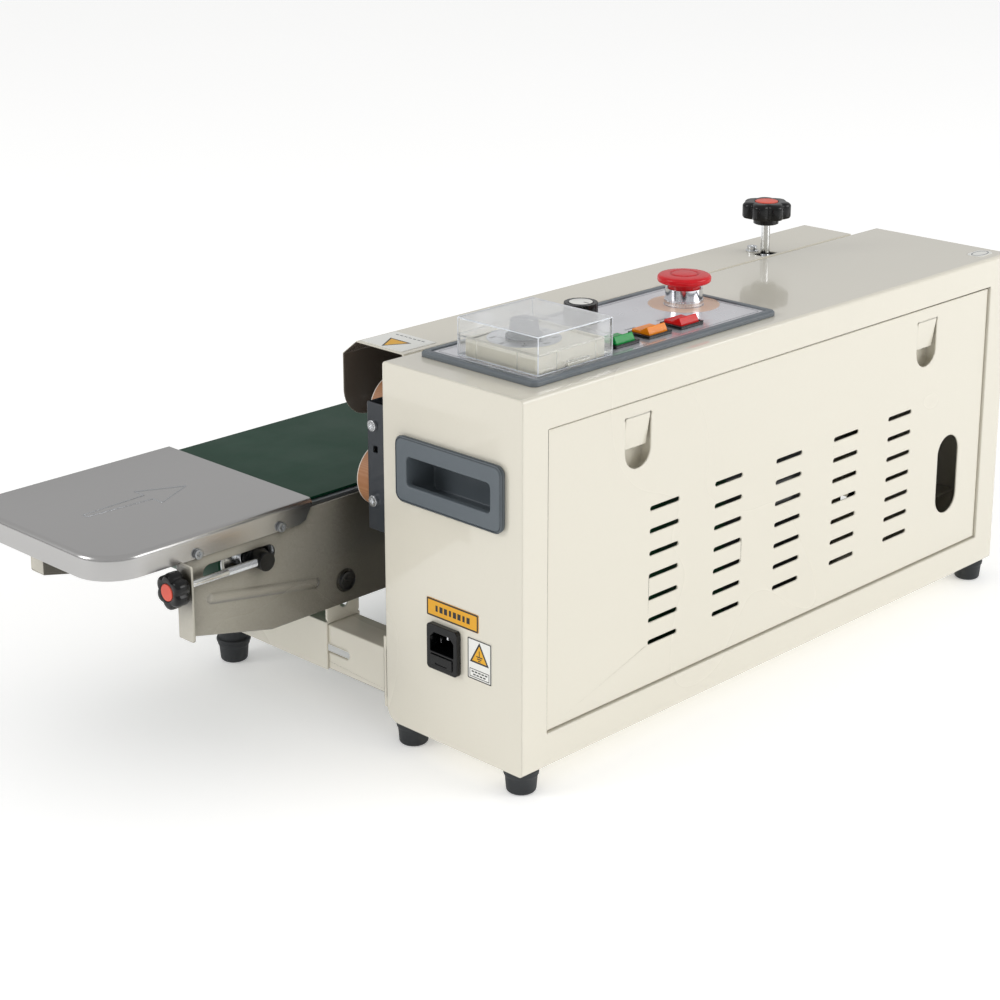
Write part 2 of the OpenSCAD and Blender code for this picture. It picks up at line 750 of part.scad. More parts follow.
module pulley_body(x, z, bore) difference() {
  rod_y(x, z, pulley_r, pulley_y1, pulley_y2);
  rod_y(x, z, bore, pulley_y1 - 1, pulley_y2 + 1);
  // dished faces with lightening holes
  for (y = [pulley_y1 - 1, pulley_y2 - 3]) difference() {
    rod_y(x, z, pulley_r - 3, y, y + 4);
    rod_y(x, z, bore + 4, y - 1, y + 5);
  }
  for (i = [0:4]) rod_y(x + 15 * cos(i * 72), z + 15 * sin(i * 72), 3, pulley_y1 - 1, pulley_y2 + 1);
}

module lower_idler() color("silver") place() pulley_body(low_idler_x, low_z, stud_r + run_fit);
module upper_idler() color("silver") place() pulley_body(up_idler_x, up_z, stud_r + run_fit);

module drive_pulley(x, z) {
  pulley_body(x, z, shaft_r - 0.5);
  rod_y(x, z, shaft_r, pulley_y1 - 4, gear_y + 8);
  rod_y(x, z, 9, pulley_y1 - 4, pulley_y1 - 0.5);
}

module lower_drive_pulley() color("silver") place() drive_pulley(low_drive_x, low_z);
module upper_drive_pulley() color("silver") place() drive_pulley(up_drive_x, up_z);

// The upper gear's phase puts a tooth space on the line to the lower gear
mesh_angle = atan2(gear_drop, -pulley_shift);
tooth_step = 360 / gear_teeth;
low_phase = 90;
mid_offset = (mesh_angle - low_phase) / tooth_step;
up_phase = mesh_angle + 180 + tooth_step / 2 + (mid_offset - floor(mid_offset)) * tooth_step;

module lower_drive_gear() color("goldenrod") place() drive_gear(low_drive_x, low_z, low_phase);
module upper_drive_gear() color("goldenrod") place() drive_gear(up_drive_x, up_z, up_phase);

module motor_gear() color("goldenrod") place() {
  drive_gear(low_drive_x, motor_gear_z, 90 + tooth_step / 2);
  rod_y(low_drive_x, motor_gear_z, shaft_r, gear_y - gear_w - 2, gear_y + 14);
}

module drive_motor() color("dimgray") place() {
  difference() {
    block(low_drive_x - 34, low_drive_x + 34, gear_y + 4, gear_y + 62, motor_gear_z - 34, motor_gear_z + 30);
    rod_y(low_drive_x, motor_gear_z, shaft_r + run_fit, gear_y, gear_y + 20);
  }
  rod_x(gear_y + 34, motor_gear_z, 30, low_drive_x + 34, low_drive_x + 130);
  rod_x(gear_y + 34, motor_gear_z, 26, low_drive_x + 130, low_drive_x + 138);
  // mounting foot
  block(low_drive_x - 34, low_drive_x + 110, gear_y + 4, gear_y + 64, sheet_t + base_t, sheet_t + base_t + 3);
  block(low_drive_x - 30, low_drive_x + 30, gear_y + 6, gear_y + 60, sheet_t + base_t + 2, motor_gear_z - 33);
  block(low_drive_x + 70, low_drive_x + 100, gear_y + 10, gear_y + 58, sheet_t + base_t + 2, motor_gear_z - 12);
}

module shaft_bearings() color("gray") place() {
  for (p = [[low_drive_x, low_z], [up_drive_x, up_z]]) difference() {
    union() {
      rod_y(p[0], p[1], 12, plate_y - 3, plate_y + plate_t + 1.5);
      rod_y(p[0], p[1], 16, plate_y - 3, plate_y);
    }
    rod_y(p[0], p[1], shaft_r + run_fit, plate_y - 4, plate_y + plate_t + 5);
  }
}

module heating_blocks() color("darkgoldenrod") place() for (x = [-138, -228]) {
  difference() {
    union() {
      block(x - 30, x + 30, pulley_y1, pulley_y2 - 0.5, up_run_z + band_t + body_gap, up_run_z + 22);
      block(x - 30, x + 30, pulley_y1, pulley_y2 - 0.5, low_run_z - 22, low_run_z - band_t - body_gap);
    }
    rod_x(pulley_mid_y, up_run_z + 12, 4, x - 31, x + 31);
    rod_x(pulley_mid_y, low_run_z - 12, 4, x - 31, x + 31);
  }
  rod_x(pulley_mid_y, up_run_z + 12, 3.9, x - 33, x + 33);
  rod_x(pulley_mid_y, low_run_z - 12, 3.9, x - 33, x + 33);
}

module cooling_blocks() color("silver") place() {
  x1 = -346;
  x2 = -290;
  difference() {
    union() {
      block(x1, x2, pulley_y1, pulley_y2 - 0.5, up_run_z + band_t + body_gap, up_run_z + 22);
      block(x1, x2, pulley_y1, pulley_y2 - 0.5, low_run_z - 22, low_run_z - band_t - body_gap);
    }
    for (x = [x1 + 4:5:x2 - 4]) {
      block(x, x + 2.4, pulley_y1 - 1, pulley_y1 + 9, up_run_z + 6, up_run_z + 23);
      block(x, x + 2.4, pulley_y1 - 1, pulley_y1 + 9, low_run_z - 23, low_run_z - 6);
    }
  }
}

// Threaded bridge for the pressure rod, with the slide ways of the carriage
module pressure_bridge() color("darkgray") place() {
  difference() {
    union() {
      block(press_x - 23, press_x + 23, press_y - 10, -body_w - 0.3, bridge_z, bridge_z + 8);
      block(press_x - 23, press_x + 23, -body_w - 0.3, plate_y, up_wheel_z - 16, bridge_z - 1.5);
      for (s = [-1, 1]) block(press_x + s * 20 - 3, press_x + s * 20 + 3, press_y - 6, -body_w, up_wheel_z - 16, bridge_z + 1);
    }
    rod_z(press_x, press_y, press_rod_r + run_fit, 260, 280);
  }
}

module pressure_knob() {
  color("black") place() translate([press_x, press_y, knob_z]) star_grip(star_d, star_h, 7, 10.8, 5);
  color("silver") place() difference() {
    rod_z(press_x, press_y, press_rod_r, cup_z + 4, knob_z + 4);
    rod_z(press_x, press_y, 1.5, cup_z, cup_z + 11);
  }
}

module pressure_cup() color("silver") place() {
  rod_z(press_x, press_y, 8, cup_z, cup_z + 3);
  rod_z(press_x, press_y, 1.45, cup_z + 2, cup_z + 10);
  rod_z(press_x, press_y, 3, cup_z - 6, cup_z + 1);
}

module pressure_spring() color("silver") place() difference() {
  rod_z(press_x, press_y, 6.5, carriage_z2 - 1.4, cup_z - 0.1);
  rod_z(press_x, press_y, 4.6, carriage_z2 - 2, cup_z);
}

module emboss_carriage() color("gray") place() {
  difference() {
    block(press_x - 16.6, press_x + 16.6, press_y - 10, -body_w - 0.7, carriage_z1, carriage_z2);
    rod_z(press_x, press_y, 7, carriage_z2 - 1.5, carriage_z2 + 1);
  }
  rod_y(press_x, up_wheel_z, wheel_shaft_r, pulley_y1 - 2.4, press_y - 9);
  rod_y(press_x, up_wheel_z, 6.5, pulley_y1 - 2.2, pulley_y1 - 0.8);
}

module emboss_wheel() color("darkgray") place() difference() {
  rod_y(press_x, up_wheel_z, wheel_r, pulley_y1, pulley_y2 - 1);
  rod_y(press_x, up_wheel_z, wheel_shaft_r + run_fit, pulley_y1 - 1, pulley_y2 + 1);
  // knurled rim
  for (i = [0:39]) {
    rod_y(press_x + (wheel_r + 0.3) * cos(i * 9), up_wheel_z + (wheel_r + 0.3) * sin(i * 9), 0.8,
      pulley_y1 - 1, pulley_y2 + 1);
  }
}

module backing_wheel() color("dimgray") place() difference() {
  rod_y(press_x, low_wheel_z, wheel_r, pulley_y1, pulley_y2 - 1);
  rod_y(press_x, low_wheel_z, wheel_shaft_r + run_fit, pulley_y1 - 1, pulley_y2 + 1);
  difference() {
    rod_y(press_x, low_wheel_z, wheel_r - 5, pulley_y1 - 1, pulley_y1 + 3);
    rod_y(press_x, low_wheel_z, wheel_shaft_r + 4, pulley_y1 - 2, pulley_y1 + 4);
  }
}

module control_board() color("darkgreen") place() {
  block(-250, -90, -24, -22.4, 40, 190);
  for (p = [[-240, 50], [-240, 175], [-100, 50], [-100, 175]]) rod_y(p[0], p[1], 3, -23, -12);
  // transformer, relays and terminals
  block(-235, -180, -66, -24, 60, 110);
  for (i = [0:3]) block(-165 + i * 17, -152 + i * 17, -42, -24, 60, 84);
  for (i = [0:7]) block(-235 + i * 16, -223 + i * 16, -36, -24, 160, 172);
  for (i = [0:2]) rod_y(-120, 110 + i * 22, 8, -50, -24);
  // mounting rail on the base
  block(-250, -90, -26, -12, sheet_t + base_t, 42);
}

// Angle-section arm with a long slot in its web
module support_arms() color("cornsilk") place() both_ends() {
  web_x = -2;
  difference() {
    union() {
      block(web_x - arm_t, web_x, -arm_end, -40, bracket_z1 + 0.6, bracket_z2 - 2);
      block(web_x - 30.4, web_x, -arm_end, -40, bracket_z2 - 2 - arm_t, bracket_z2 - 2);
      block(web_x - 30.4, web_x - 30.4 + arm_t, -arm_end, -40, bracket_z2 - 14, bracket_z2 - 2);
    }
    wall_x(web_x - arm_t - 1, arm_t + 2) translate([-(arm_end - 6 + arm_slot_y) / 2, lock_z])
      oblong(arm_end - 6 - arm_slot_y, arm_slot_h);
  }
  // foot that bolts the arm to the base
  block(web_x - 30.4, web_x, -90, -40, sheet_t + base_t, bracket_z1 + 1);
  // collar plate on the housing
  difference() {
    block(-40, 0, -body_w - 3, -body_w, 10, 67);
    block(-33.6, -0.8, -body_w - 4, -body_w + 1, bracket_z1 - 1, bracket_z2 - 1);
  }
}

module slide_brackets() color("cornsilk") place() both_ends() {
  inner_t = bracket_w - 2 * bracket_t;
  difference() {
    union() {
      difference() {
        block(-bracket_w, 0, bracket_front, bracket_rear, bracket_z1, bracket_z2);
        block(-bracket_w + bracket_t, -bracket_t, bracket_front - 1, bracket_rear + 1,
          bracket_z1 - 1, bracket_z2 - bracket_t);
      }
      // upstands that carry the conveyor
      for (y = [bracket_rear - 2, bracket_front])
        wall_y(y + 2, 2) translate([-bracket_w / 2, (tab_top_z + 56.5) / 2]) rounded_rect(inner_t + 2, tab_top_z - 56.5, 5);
      // shoe above the foot
      block(-bracket_w + 0.5, -0.5, bracket_foot_y - 16, bracket_foot_y + 16, bracket_z1 - 2, bracket_z1);
      block(-bracket_w + 0.5, -bracket_w + bracket_t, bracket_foot_y - 16, bracket_foot_y + 16, bracket_z1 - 1, bracket_z1 + 1);
      block(-bracket_t, -0.5, bracket_foot_y - 16, bracket_foot_y + 16, bracket_z1 - 1, bracket_z1 + 1);
    }
    // slots for the height bolts
    for (y = [bracket_rear + 1, bracket_front + 3])
      wall_y(y, 4) translate([bush_x, 84.5]) rotate(90) oblong(38, 8.6);
    // stud hole of the lock knob
    rod_x(lock_y, lock_z, rod_r + body_gap, -bracket_w / 2, 1);
  }
}

module bracket_feet() color("dimgray") place() both_ends() {
  translate([-16, bracket_foot_y, 0]) {
    rubber_foot();
    cylinder(h = bracket_z1 - 2, r = foot_r - 1.5);
    translate([0, 0, -1]) cylinder(h = 3, r = foot_r + 1);
  }
}

module lock_knob() {
  translate([0.4, lock_y, lock_z]) rotate([0, 90, 0]) star_grip(knob_d, knob_h, 6, 7, 4);
  // stud and clamp nut
  rod_x(lock_y, lock_z, rod_r, -10, 2);
  translate([-10, lock_y, lock_z]) rotate([0, 90, 0]) cylinder(h = 5, r = 6, $fn = 6);
}

module lock_knob_infeed() color("black") place() lock_knob();
module lock_knob_outfeed() color("black") place() translate([2 * mid_x, 0, 0]) mirror([1, 0, 0]) lock_knob();

// Outline of a side plate, symmetric about the machine's middle
module side_outline() {
  e = plate_end;
  far = -body_l - plate_end;
  polygon([[e, side_end_bottom], [e, flange_top - 6], [e - 12, side_top], [far + 12, side_top],
    [far, flange_top - 6], [far, side_end_bottom], [far + taper_l, side_bottom], [e - taper_l, side_bottom]]);
}

module rear_side_plate() {
  difference() {
    union() {
      wall_y(rear_side_y, side_t) side_outline();
      // end flanges folded outwards
      both_ends() wall_x(plate_end - side_t, side_t)
        translate([rear_side_y + (flange_w - side_t) / 2, (side_end_bottom + flange_top) / 2])
          rounded_rect(flange_w + side_t, flange_top - side_end_bottom, 1.9);
      // pressed stiffening ribs
      both_ends() intersection() {
        translate([61.5, rear_side_y - 4, 103]) rotate([0, -rib_tilt, 0]) {
          rotate([0, 90, 0]) cylinder(h = rib_l - rib_w, r = 6, center = true);
          for (s = [-1, 1]) translate([s * (rib_l - rib_w) / 2, 0, 0]) sphere(r = 6);
        }
        block(0, plate_end, rear_side_y - side_t, rear_side_y + 4, side_bottom, side_top);
      }
    }
    // slot for the tension block at the infeed end
    wall_y(rear_side_y + 2, side_t + 4) translate([slot_x, roller_z]) oblong(slot_l, slot_h);
    rod_y(drive_x, roller_z, axle_r, rear_side_y - side_t - 1, rear_side_y + 2);
    rod_x(rear_side_y + rod_out, roller_z, rod_r + body_gap, plate_end - 4, plate_end + 2);
    // recessed seats of the height bolts
    both_ends() rod_y(bush_x, bush_z, bush_r, rear_side_y - side_t + 0.8, rear_side_y + 2);
    both_ends() rod_y(bush_x, bush_z, 3.05, rear_side_y - side_t - 1, rear_side_y + 2);
  }
}

module side_plates() color("cornsilk") place() both_sides() rear_side_plate();

module belt_bed() color("lightgray") place() {
  y1 = front_side_y + side_t;
  y2 = rear_side_y - side_t;
  bed_top = belt_z - belt_t - body_gap;
  block(drive_x + 34, tail_x - 34, y1, y2, bed_top - 2, bed_top);
  both_sides() block(drive_x + 34, tail_x - 34, y2 - 2, y2, bed_top - 14, bed_top - 1);
  // cross members between the belt runs
  for (x = [-70, mid_x, -body_l + 70]) difference() {
    block(x - 15, x + 15, y1, y2, roller_z - 15, roller_z + 15);
    block(x - 12, x + 12, y1 - 1, y2 + 1, roller_z - 12, roller_z + 12);
  }
  // fixed axle of the drive roller
  rod_y(drive_x, roller_z, axle_r, front_side_y - 4, rear_side_y + 4);
  both_sides() rod_y(drive_x, roller_z, 9, rear_side_y, rear_side_y + 6);
  // height bolts, with heads outside the plates and nuts inside the slotted upstands
  both_sides() both_ends() {
    rod_y(bush_x, bush_z, 3, rear_side_y - side_t - 6, rear_side_y - 1);
    difference() {
      rod_y(bush_x, bush_z, 6.2, rear_side_y - side_t + 0.8, rear_side_y + 1.6);
      translate([bush_x, rear_side_y + 2, bush_z]) rotate([90, 0, 0]) cylinder(h = 2.4, r = 3, $fn = 6);
    }
    translate([bush_x, rear_side_y - side_t - 2.6, bush_z]) rotate([90, 0, 0]) cylinder(h = 3, r = 5.6, $fn = 6);
  }
  // screws of the infeed plate
  both_sides() for (x = [46, 123])
    translate([x, infeed_y1, infeed_z - 13]) rotate([-90, 0, 0]) pan_screw(3.8, 2.6, 6);
}

module conveyor_belt() color("darkgreen") place() {
  wall_y(conv_y + belt_w / 2, belt_w) translate([(tail_x + drive_x) / 2, roller_z])
    loop2d(tail_x - drive_x, belt_in_r, belt_t);
}

module roller(x) difference() {
  rod_y(x, roller_z, roller_r, conv_y - belt_w / 2, conv_y + belt_w / 2);
  rod_y(x, roller_z, axle_r + run_fit, conv_y - belt_w, conv_y + belt_w);
  for (s = [-1, 1]) difference() {
    rod_y(x, roller_z, roller_r - 4, conv_y + s * belt_w / 2 - 5, conv_y + s * belt_w / 2 + 5);
    rod_y(x, roller_z, axle_r + 5, conv_y + s * belt_w / 2 - 6, conv_y + s * belt_w / 2 + 6);
  }
}

module drive_roller() color("dimgray") place() roller(drive_x);
module tail_roller() color("silver") place() roller(tail_x);

// Axle of the tail roller with a sliding block at each end
module tension_blocks() color("black") place() {
  rod_y(tail_x, roller_z, axle_r, front_side_y, rear_side_y);
  both_sides() difference() {
    union() {
      wall_y(rear_side_y + body_gap, side_t + 2 * body_gap) translate([tail_x, roller_z])
        oblong(22, slot_h - 2 * body_gap);
      rod_y(tail_x, roller_z, 9, rear_side_y - side_t - 3, rear_side_y - side_t - body_gap);
      rod_y(tail_x, roller_z, 7.2, rear_side_y + body_gap - 0.1, rear_side_y + 13);
    }
    rod_x(rear_side_y + rod_out, roller_z, rod_r + body_gap, tail_x - 9, tail_x + 12);
  }
}

module tension_knob() {
  translate([plate_end + 0.4, rear_side_y + rod_out, roller_z]) rotate([0, 90, 0]) star_grip(knob_d, knob_h, 6, 7, 4);
  rod_x(rear_side_y + rod_out, roller_z, rod_r, tail_x - 5, plate_end + 2);
}

module tension_knob_rear() color("black") place() tension_knob();
module tension_knob_front() color("black") place() translate([0, 2 * conv_y, 0]) mirror([0, 1, 0]) tension_knob();

module infeed_outline(inset) {
  x1 = infeed_x1 - 2;
  x2 = infeed_reach - inset;
  y1 = infeed_y2 + inset;
  y2 = infeed_y1 - inset;
  r = infeed_corner_r - inset;
  translate([x1, y1]) square([x2 - r - x1, y2 - y1]);
  translate([x1, y1 + r]) square([x2 - x1, y2 - y1 - 2 * r]);
  for (y = [y1 + r, y2 - r]) translate([x2 - r, y]) circle(r = r);
}

module infeed_plate() color("silver") place() difference() {
  translate([0, 0, infeed_z - infeed_skirt + infeed_t]) linear_extrude(infeed_skirt) infeed_outline(0);
  translate([0, 0, infeed_z - infeed_skirt]) linear_extrude(infeed_skirt) infeed_outline(infeed_t);
  block(infeed_x1 - 5, infeed_x1, infeed_y2 - 1, infeed_y1 + 1, infeed_z - 30, infeed_z + 5);
  // rounded lower corners next to the belt
  both_sides() wall_y(infeed_y1 + 1, 4) difference() {
    translate([infeed_x1 - 1, infeed_z - infeed_skirt - 1]) square([15, 16]);
    translate([infeed_x1 + 14, infeed_z - infeed_skirt + infeed_t + 14]) circle(r = 14);
  }
  // feed direction arrow
  translate([0, 0, infeed_z + infeed_t - 0.5]) linear_extrude(1) polygon([[64, conv_y], [99, conv_y + 17],
    [99, conv_y + 5], [156, conv_y + 2], [156, conv_y - 2], [99, conv_y - 5], [99, conv_y - 17]]);
}

main_housing();
rear_panel();
mechanism_plate();
base_plate();
housing_feet();
end_handles();
power_inlet();
fuse_drawer();
labels();
panel_bezel();
panel_plate();
controller_base();
clear_cover();
temperature_knob();
speed_knob();
estop_collar();
estop_button();
rocker_bezels();
rocker_green();
rocker_amber();
rocker_red();
safety_guard();
housing_screws();
infeed_bracket();
upper_band();
lower_band();
idler_studs();
lower_idler();
upper_idler();
lower_drive_pulley();
upper_drive_pulley();
lower_drive_gear();
upper_drive_gear();
motor_gear();
drive_motor();
shaft_bearings();
heating_blocks();
cooling_blocks();
pressure_bridge();
pressure_knob();
pressure_cup();
pressure_spring();
emboss_carriage();
emboss_wheel();
backing_wheel();
control_board();
support_arms();
slide_brackets();
bracket_feet();
lock_knob_infeed();
lock_knob_outfeed();
side_plates();
belt_bed();
conveyor_belt();
drive_roller();
tail_roller();
tension_blocks();
tension_knob_rear();
tension_knob_front();
infeed_plate();
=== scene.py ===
"""Continuous band sealer: materials, rounded edges, knobs, labels, camera and studio light."""
import json
import math

import bmesh
import bpy
from mathutils import Matrix, Vector


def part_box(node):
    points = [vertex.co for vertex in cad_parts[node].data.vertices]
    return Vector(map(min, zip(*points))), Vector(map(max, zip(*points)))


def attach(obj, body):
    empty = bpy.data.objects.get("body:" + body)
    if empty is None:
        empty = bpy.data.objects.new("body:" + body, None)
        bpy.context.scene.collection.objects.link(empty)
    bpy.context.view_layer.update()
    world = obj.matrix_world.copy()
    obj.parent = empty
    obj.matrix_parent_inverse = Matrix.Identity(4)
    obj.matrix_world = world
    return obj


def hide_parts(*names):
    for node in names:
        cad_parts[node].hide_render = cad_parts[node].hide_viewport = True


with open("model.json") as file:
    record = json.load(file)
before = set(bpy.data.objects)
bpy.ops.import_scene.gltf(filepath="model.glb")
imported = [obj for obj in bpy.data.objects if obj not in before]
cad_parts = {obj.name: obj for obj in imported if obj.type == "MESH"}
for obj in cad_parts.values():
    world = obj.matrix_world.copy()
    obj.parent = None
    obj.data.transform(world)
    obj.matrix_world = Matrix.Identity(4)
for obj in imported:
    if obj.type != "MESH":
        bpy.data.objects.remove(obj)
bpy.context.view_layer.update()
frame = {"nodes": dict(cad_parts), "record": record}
NODES = frame["nodes"]
SLOT_OF = {part["node"]: part["material_slot"] for part in frame["record"]["subparts"]}

MM = 0.001
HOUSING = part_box("main_housing")
# Infeed end, rear face and underside of the housing: the corner that at() measures from
CORNER = Vector((HOUSING[1].x, HOUSING[1].y, HOUSING[0].z))
X_AXIS = Vector((1, 0, 0))
Y_AXIS = Vector((0, 1, 0))
Z_AXIS = Vector((0, 0, 1))

# Places from the corner and sizes, in mm
GUARD_HEART = (-300, -166, 238)
PRESSURE_AXIS = (-455, -149, 0)
VOLT_PLACE = (-69, 105.3)
VOLT_HALF_H = 8.5
EARTH_PLACE = (-41.5, 77.8)
EARTH_W, EARTH_H = 23.4, 31.2
PLATE_FACE_Y = {"rear": -205, "front": -378}
BOLT_X = {"infeed": -18.7, "outfeed": -585.3}
BOLT_Z = 88.3
DIAL_FACE_Z = 297
DIAL_FACE_R = 27
INLET_MIDDLE = (-9, -76.2, 77)
SCREW_PITCH = 1.25
TENSION_GRIP_D = 27.6
LOCK_GRIP_D = 28
SMALL_GRIP_H = 16
# Rise of a grip's coral cap above the grip
CAP_RISE = 0.4
# Thickness of a printed layer, and how far labels stand off their face
INK_T = 0.06
LABEL_T = 0.5
STICKER_T = 0.4


def at(x, y, z):
    """A point given in mm from the machine corner, in the row frame."""
    return CORNER + Vector((x, y, z)) * MM


def middle(node):
    """Centre of a node's box."""
    low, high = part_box(node)
    return (low + high) / 2


# ---------------------------------------------------------------- materials

def rgb(text):
    """Linear colour from a hex code."""
    parts = [int(text[i:i + 2], 16) / 255 for i in (0, 2, 4)]
    return [c / 12.92 if c < 0.04045 else ((c + 0.055) / 1.055) ** 2.4 for c in parts] + [1.0]


class Finish:
    """A Principled material whose detail comes from textures in the object's own space."""

    def __init__(self, name, color, roughness, metallic=0.0, **sockets):
        self.material = bpy.data.materials.new(name)
        self.material.use_nodes = True
        self.tree = self.material.node_tree
        self.shader = self.tree.nodes["Principled BSDF"]
        self.place = self.node("ShaderNodeTexCoord").outputs["Object"]
        self.height = None
        self.color = rgb(color)
        self.shader.inputs["Base Color"].default_value = self.color
        self.shader.inputs["Roughness"].default_value = roughness
        self.shader.inputs["Metallic"].default_value = metallic
        for key, value in sockets.items():
            self.shader.inputs[key.replace("_", " ")].default_value = value

    def node(self, kind, **values):
        made = self.tree.nodes.new(kind)
        for key, value in values.items():
            setattr(made, key, value)
        return made

    def link(self, a, b):
        self.tree.links.new(a, b)

    def noise(self, scale, stretch=(1, 1, 1), detail=3.0, rough=0.55):
        mapping = self.node("ShaderNodeMapping")
        mapping.inputs["Scale"].default_value = stretch
        self.link(self.place, mapping.inputs["Vector"])
        noise = self.node("ShaderNodeTexNoise")
        noise.inputs["Scale"].default_value = scale
        noise.inputs["Detail"].default_value = detail
        noise.inputs["Roughness"].default_value = rough
        self.link(mapping.outputs["Vector"], noise.inputs["Vector"])
        return noise.outputs["Fac"]

    def spread(self, source, low, high, start=0.3, end=0.7):
        ranged = self.node("ShaderNodeMapRange")
        ranged.inputs["From Min"].default_value = start
        ranged.inputs["From Max"].default_value = end
        ranged.inputs["To Min"].default_value = low
        ranged.inputs["To Max"].default_value = high
        self.link(source, ranged.inputs["Value"])
        return ranged.outputs["Result"]

    def tint(self, source, other, amount=1.0, start=0.3, end=0.7):
        """Blends the base colour towards another colour where source is high."""
        mix = self.node("ShaderNodeMix", data_type="RGBA")
        self.link(self.spread(source, 0.0, amount, start, end), mix.inputs["Factor"])
        socket = self.shader.inputs["Base Color"]
        if socket.is_linked:
            self.link(socket.links[0].from_socket, mix.inputs["A"])
        else:
            mix.inputs["A"].default_value = self.color
        mix.inputs["B"].default_value = rgb(other)
        self.link(mix.outputs["Result"], socket)
        return self

    def vary_roughness(self, source, low, high):
        self.link(self.spread(source, low, high), self.shader.inputs["Roughness"])
        return self

    def bump(self, source, depth, strength=1.0):
        """Adds a height in metres to the surface."""
        bump = self.node("ShaderNodeBump")
        bump.inputs["Strength"].default_value = strength
        bump.inputs["Distance"].default_value = depth
        self.link(source, bump.inputs["Height"])
        socket = self.shader.inputs["Normal"]
        if socket.is_linked:
            self.link(socket.links[0].from_socket, bump.inputs["Normal"])
        self.link(bump.outputs["Normal"], socket)
        return self

    def axis(self, name):
        split = self.node("ShaderNodeSeparateXYZ")
        self.link(self.place, split.inputs["Vector"])
        return split.outputs[name]


def powder_coat(f, dark, roughness):
    """Slight clouding, specks and orange peel of a sprayed coat."""
    f.tint(f.noise(5, detail=1), dark, 0.25)
    f.tint(f.noise(420, detail=1), dark, 0.1, 0.45, 0.75)
    f.vary_roughness(f.noise(6, detail=1), roughness - 0.02, roughness + 0.02)
    corner = f.node("ShaderNodeBevel", samples=6)
    corner.inputs["Radius"].default_value = 0.0018
    f.link(corner.outputs["Normal"], f.shader.inputs["Normal"])
    f.bump(f.noise(260, detail=1), 0.000012, 0.4)


def paint(name, color, dark, roughness=0.3, coat=0.8):
    """Powder coat: faint orange peel, slight clouding and a clear top layer."""
    f = Finish(name, color, roughness, Coat_Weight=coat, Coat_Roughness=0.05)
    powder_coat(f, dark, roughness)
    return f.material


def plastic(name, color, light, roughness, grain=900, depth=0.00004, **sockets):
    """Moulded plastic with a fine grain and worn patches."""
    f = Finish(name, color, roughness, **sockets)
    f.tint(f.noise(60, detail=4), light, 0.18)
    f.vary_roughness(f.noise(90), roughness - 0.06, roughness + 0.08)
    f.bump(f.noise(grain, detail=2), depth, 0.6)
    return f.material


def metal(name, color, dark, roughness, stretch=(1, 1, 1), grain=300, depth=0.00003, contrast=1.0):
    """Metal with a grain that runs along its least stretched axis."""
    f = Finish(name, color, roughness, metallic=1.0)
    lines = f.noise(grain, stretch, detail=5, rough=0.65)
    f.tint(lines, dark, 0.35 * contrast)
    f.tint(f.noise(14, detail=3), dark, 0.2 * contrast)
    f.vary_roughness(lines, roughness - 0.07 * contrast, roughness + 0.1 * contrast)
    f.bump(lines, depth, 0.5)
    return f.material


def rubber(name, color, light, roughness, grain=700):
    """Matt rubber with a dusty bloom."""
    f = Finish(name, color, roughness)
    f.tint(f.noise(35, detail=5), light, 0.35)
    f.vary_roughness(f.noise(60), roughness - 0.08, roughness + 0.08)
    f.bump(f.noise(grain, detail=3), 0.00012, 0.5)
    return f.material


def lens(name, color, deep):
    """Tinted translucent plastic of a lit switch."""
    f = Finish(name, color, 0.25, Specular_IOR_Level=0.25, Coat_Weight=0.15, Subsurface_Weight=0.1)
    f.shader.inputs["Subsurface Radius"].default_value = (0.002, 0.001, 0.001)
    f.tint(f.noise(200, detail=2), deep, 0.3)
    f.bump(f.noise(700, detail=1), 0.00003, 0.4)
    return f.material


def woven(name, color, light, edge):
    """Coated glass cloth: a fine over-and-under weave, pale along both cut edges."""
    f = Finish(name, color, 0.5)
    low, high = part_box("lower_band")
    half = (high.y - low.y) / 2
    from_middle = f.node("ShaderNodeMath", operation="SUBTRACT")
    f.link(f.axis("Y"), from_middle.inputs[0])
    from_middle.inputs[1].default_value = (low.y + high.y) / 2
    distance = f.node("ShaderNodeMath", operation="ABSOLUTE")
    f.link(from_middle.outputs[0], distance.inputs[0])
    waves = []
    for direction in ("X", "Y", "Z"):
        wave = f.node("ShaderNodeTexWave", bands_direction=direction)
        wave.inputs["Scale"].default_value = 400
        f.link(f.place, wave.inputs["Vector"])
        waves.append(wave.outputs["Fac"])
    total = f.node("ShaderNodeMath", operation="MULTIPLY")
    f.link(waves[0], total.inputs[0])
    f.link(waves[1], total.inputs[1])
    f.tint(total.outputs[0], light, 0.5, 0.1, 0.9)
    f.tint(distance.outputs[0], edge, 0.9, half - 0.0009, half - 0.0005)
    f.bump(total.outputs[0], 0.0001, 0.6)
    return f.material


def clear_acrylic(name):
    """Clear moulding with a painted sheen: less clear and paler where it is seen edge on."""
    f = Finish(name, "FDFEFF", 0.02, IOR=1.1, Coat_Weight=1.0, Coat_Roughness=0.02, Coat_IOR=1.8)
    sheen_edge_on = f.node("ShaderNodeLayerWeight")
    sheen_edge_on.inputs["Blend"].default_value = 0.5
    # Painted sheen: transmission drops where the surface is seen edge on, showing the white base
    clear = f.spread(sheen_edge_on.outputs["Facing"], 0.97, 0.55, 0.42, 0.85)
    f.link(clear, f.shader.inputs["Transmission Weight"])
    f.bump(f.noise(25, detail=1), 0.00005, 0.15)
    return f.material


def belt_surface(name):
    """Dark green belt cover with a fine fabric emboss and light scuffs along its run."""
    f = Finish(name, "0A3624", 0.36, Specular_IOR_Level=0.1)
    f.tint(f.noise(4, detail=2), "0F4430", 0.4)
    f.tint(f.noise(50, (0.3, 3, 1), detail=4), "1F5842", 0.12, 0.5, 0.8)
    f.vary_roughness(f.noise(20), 0.32, 0.42)
    f.bump(f.noise(1500, detail=1), 0.00003, 0.3)
    return f.material


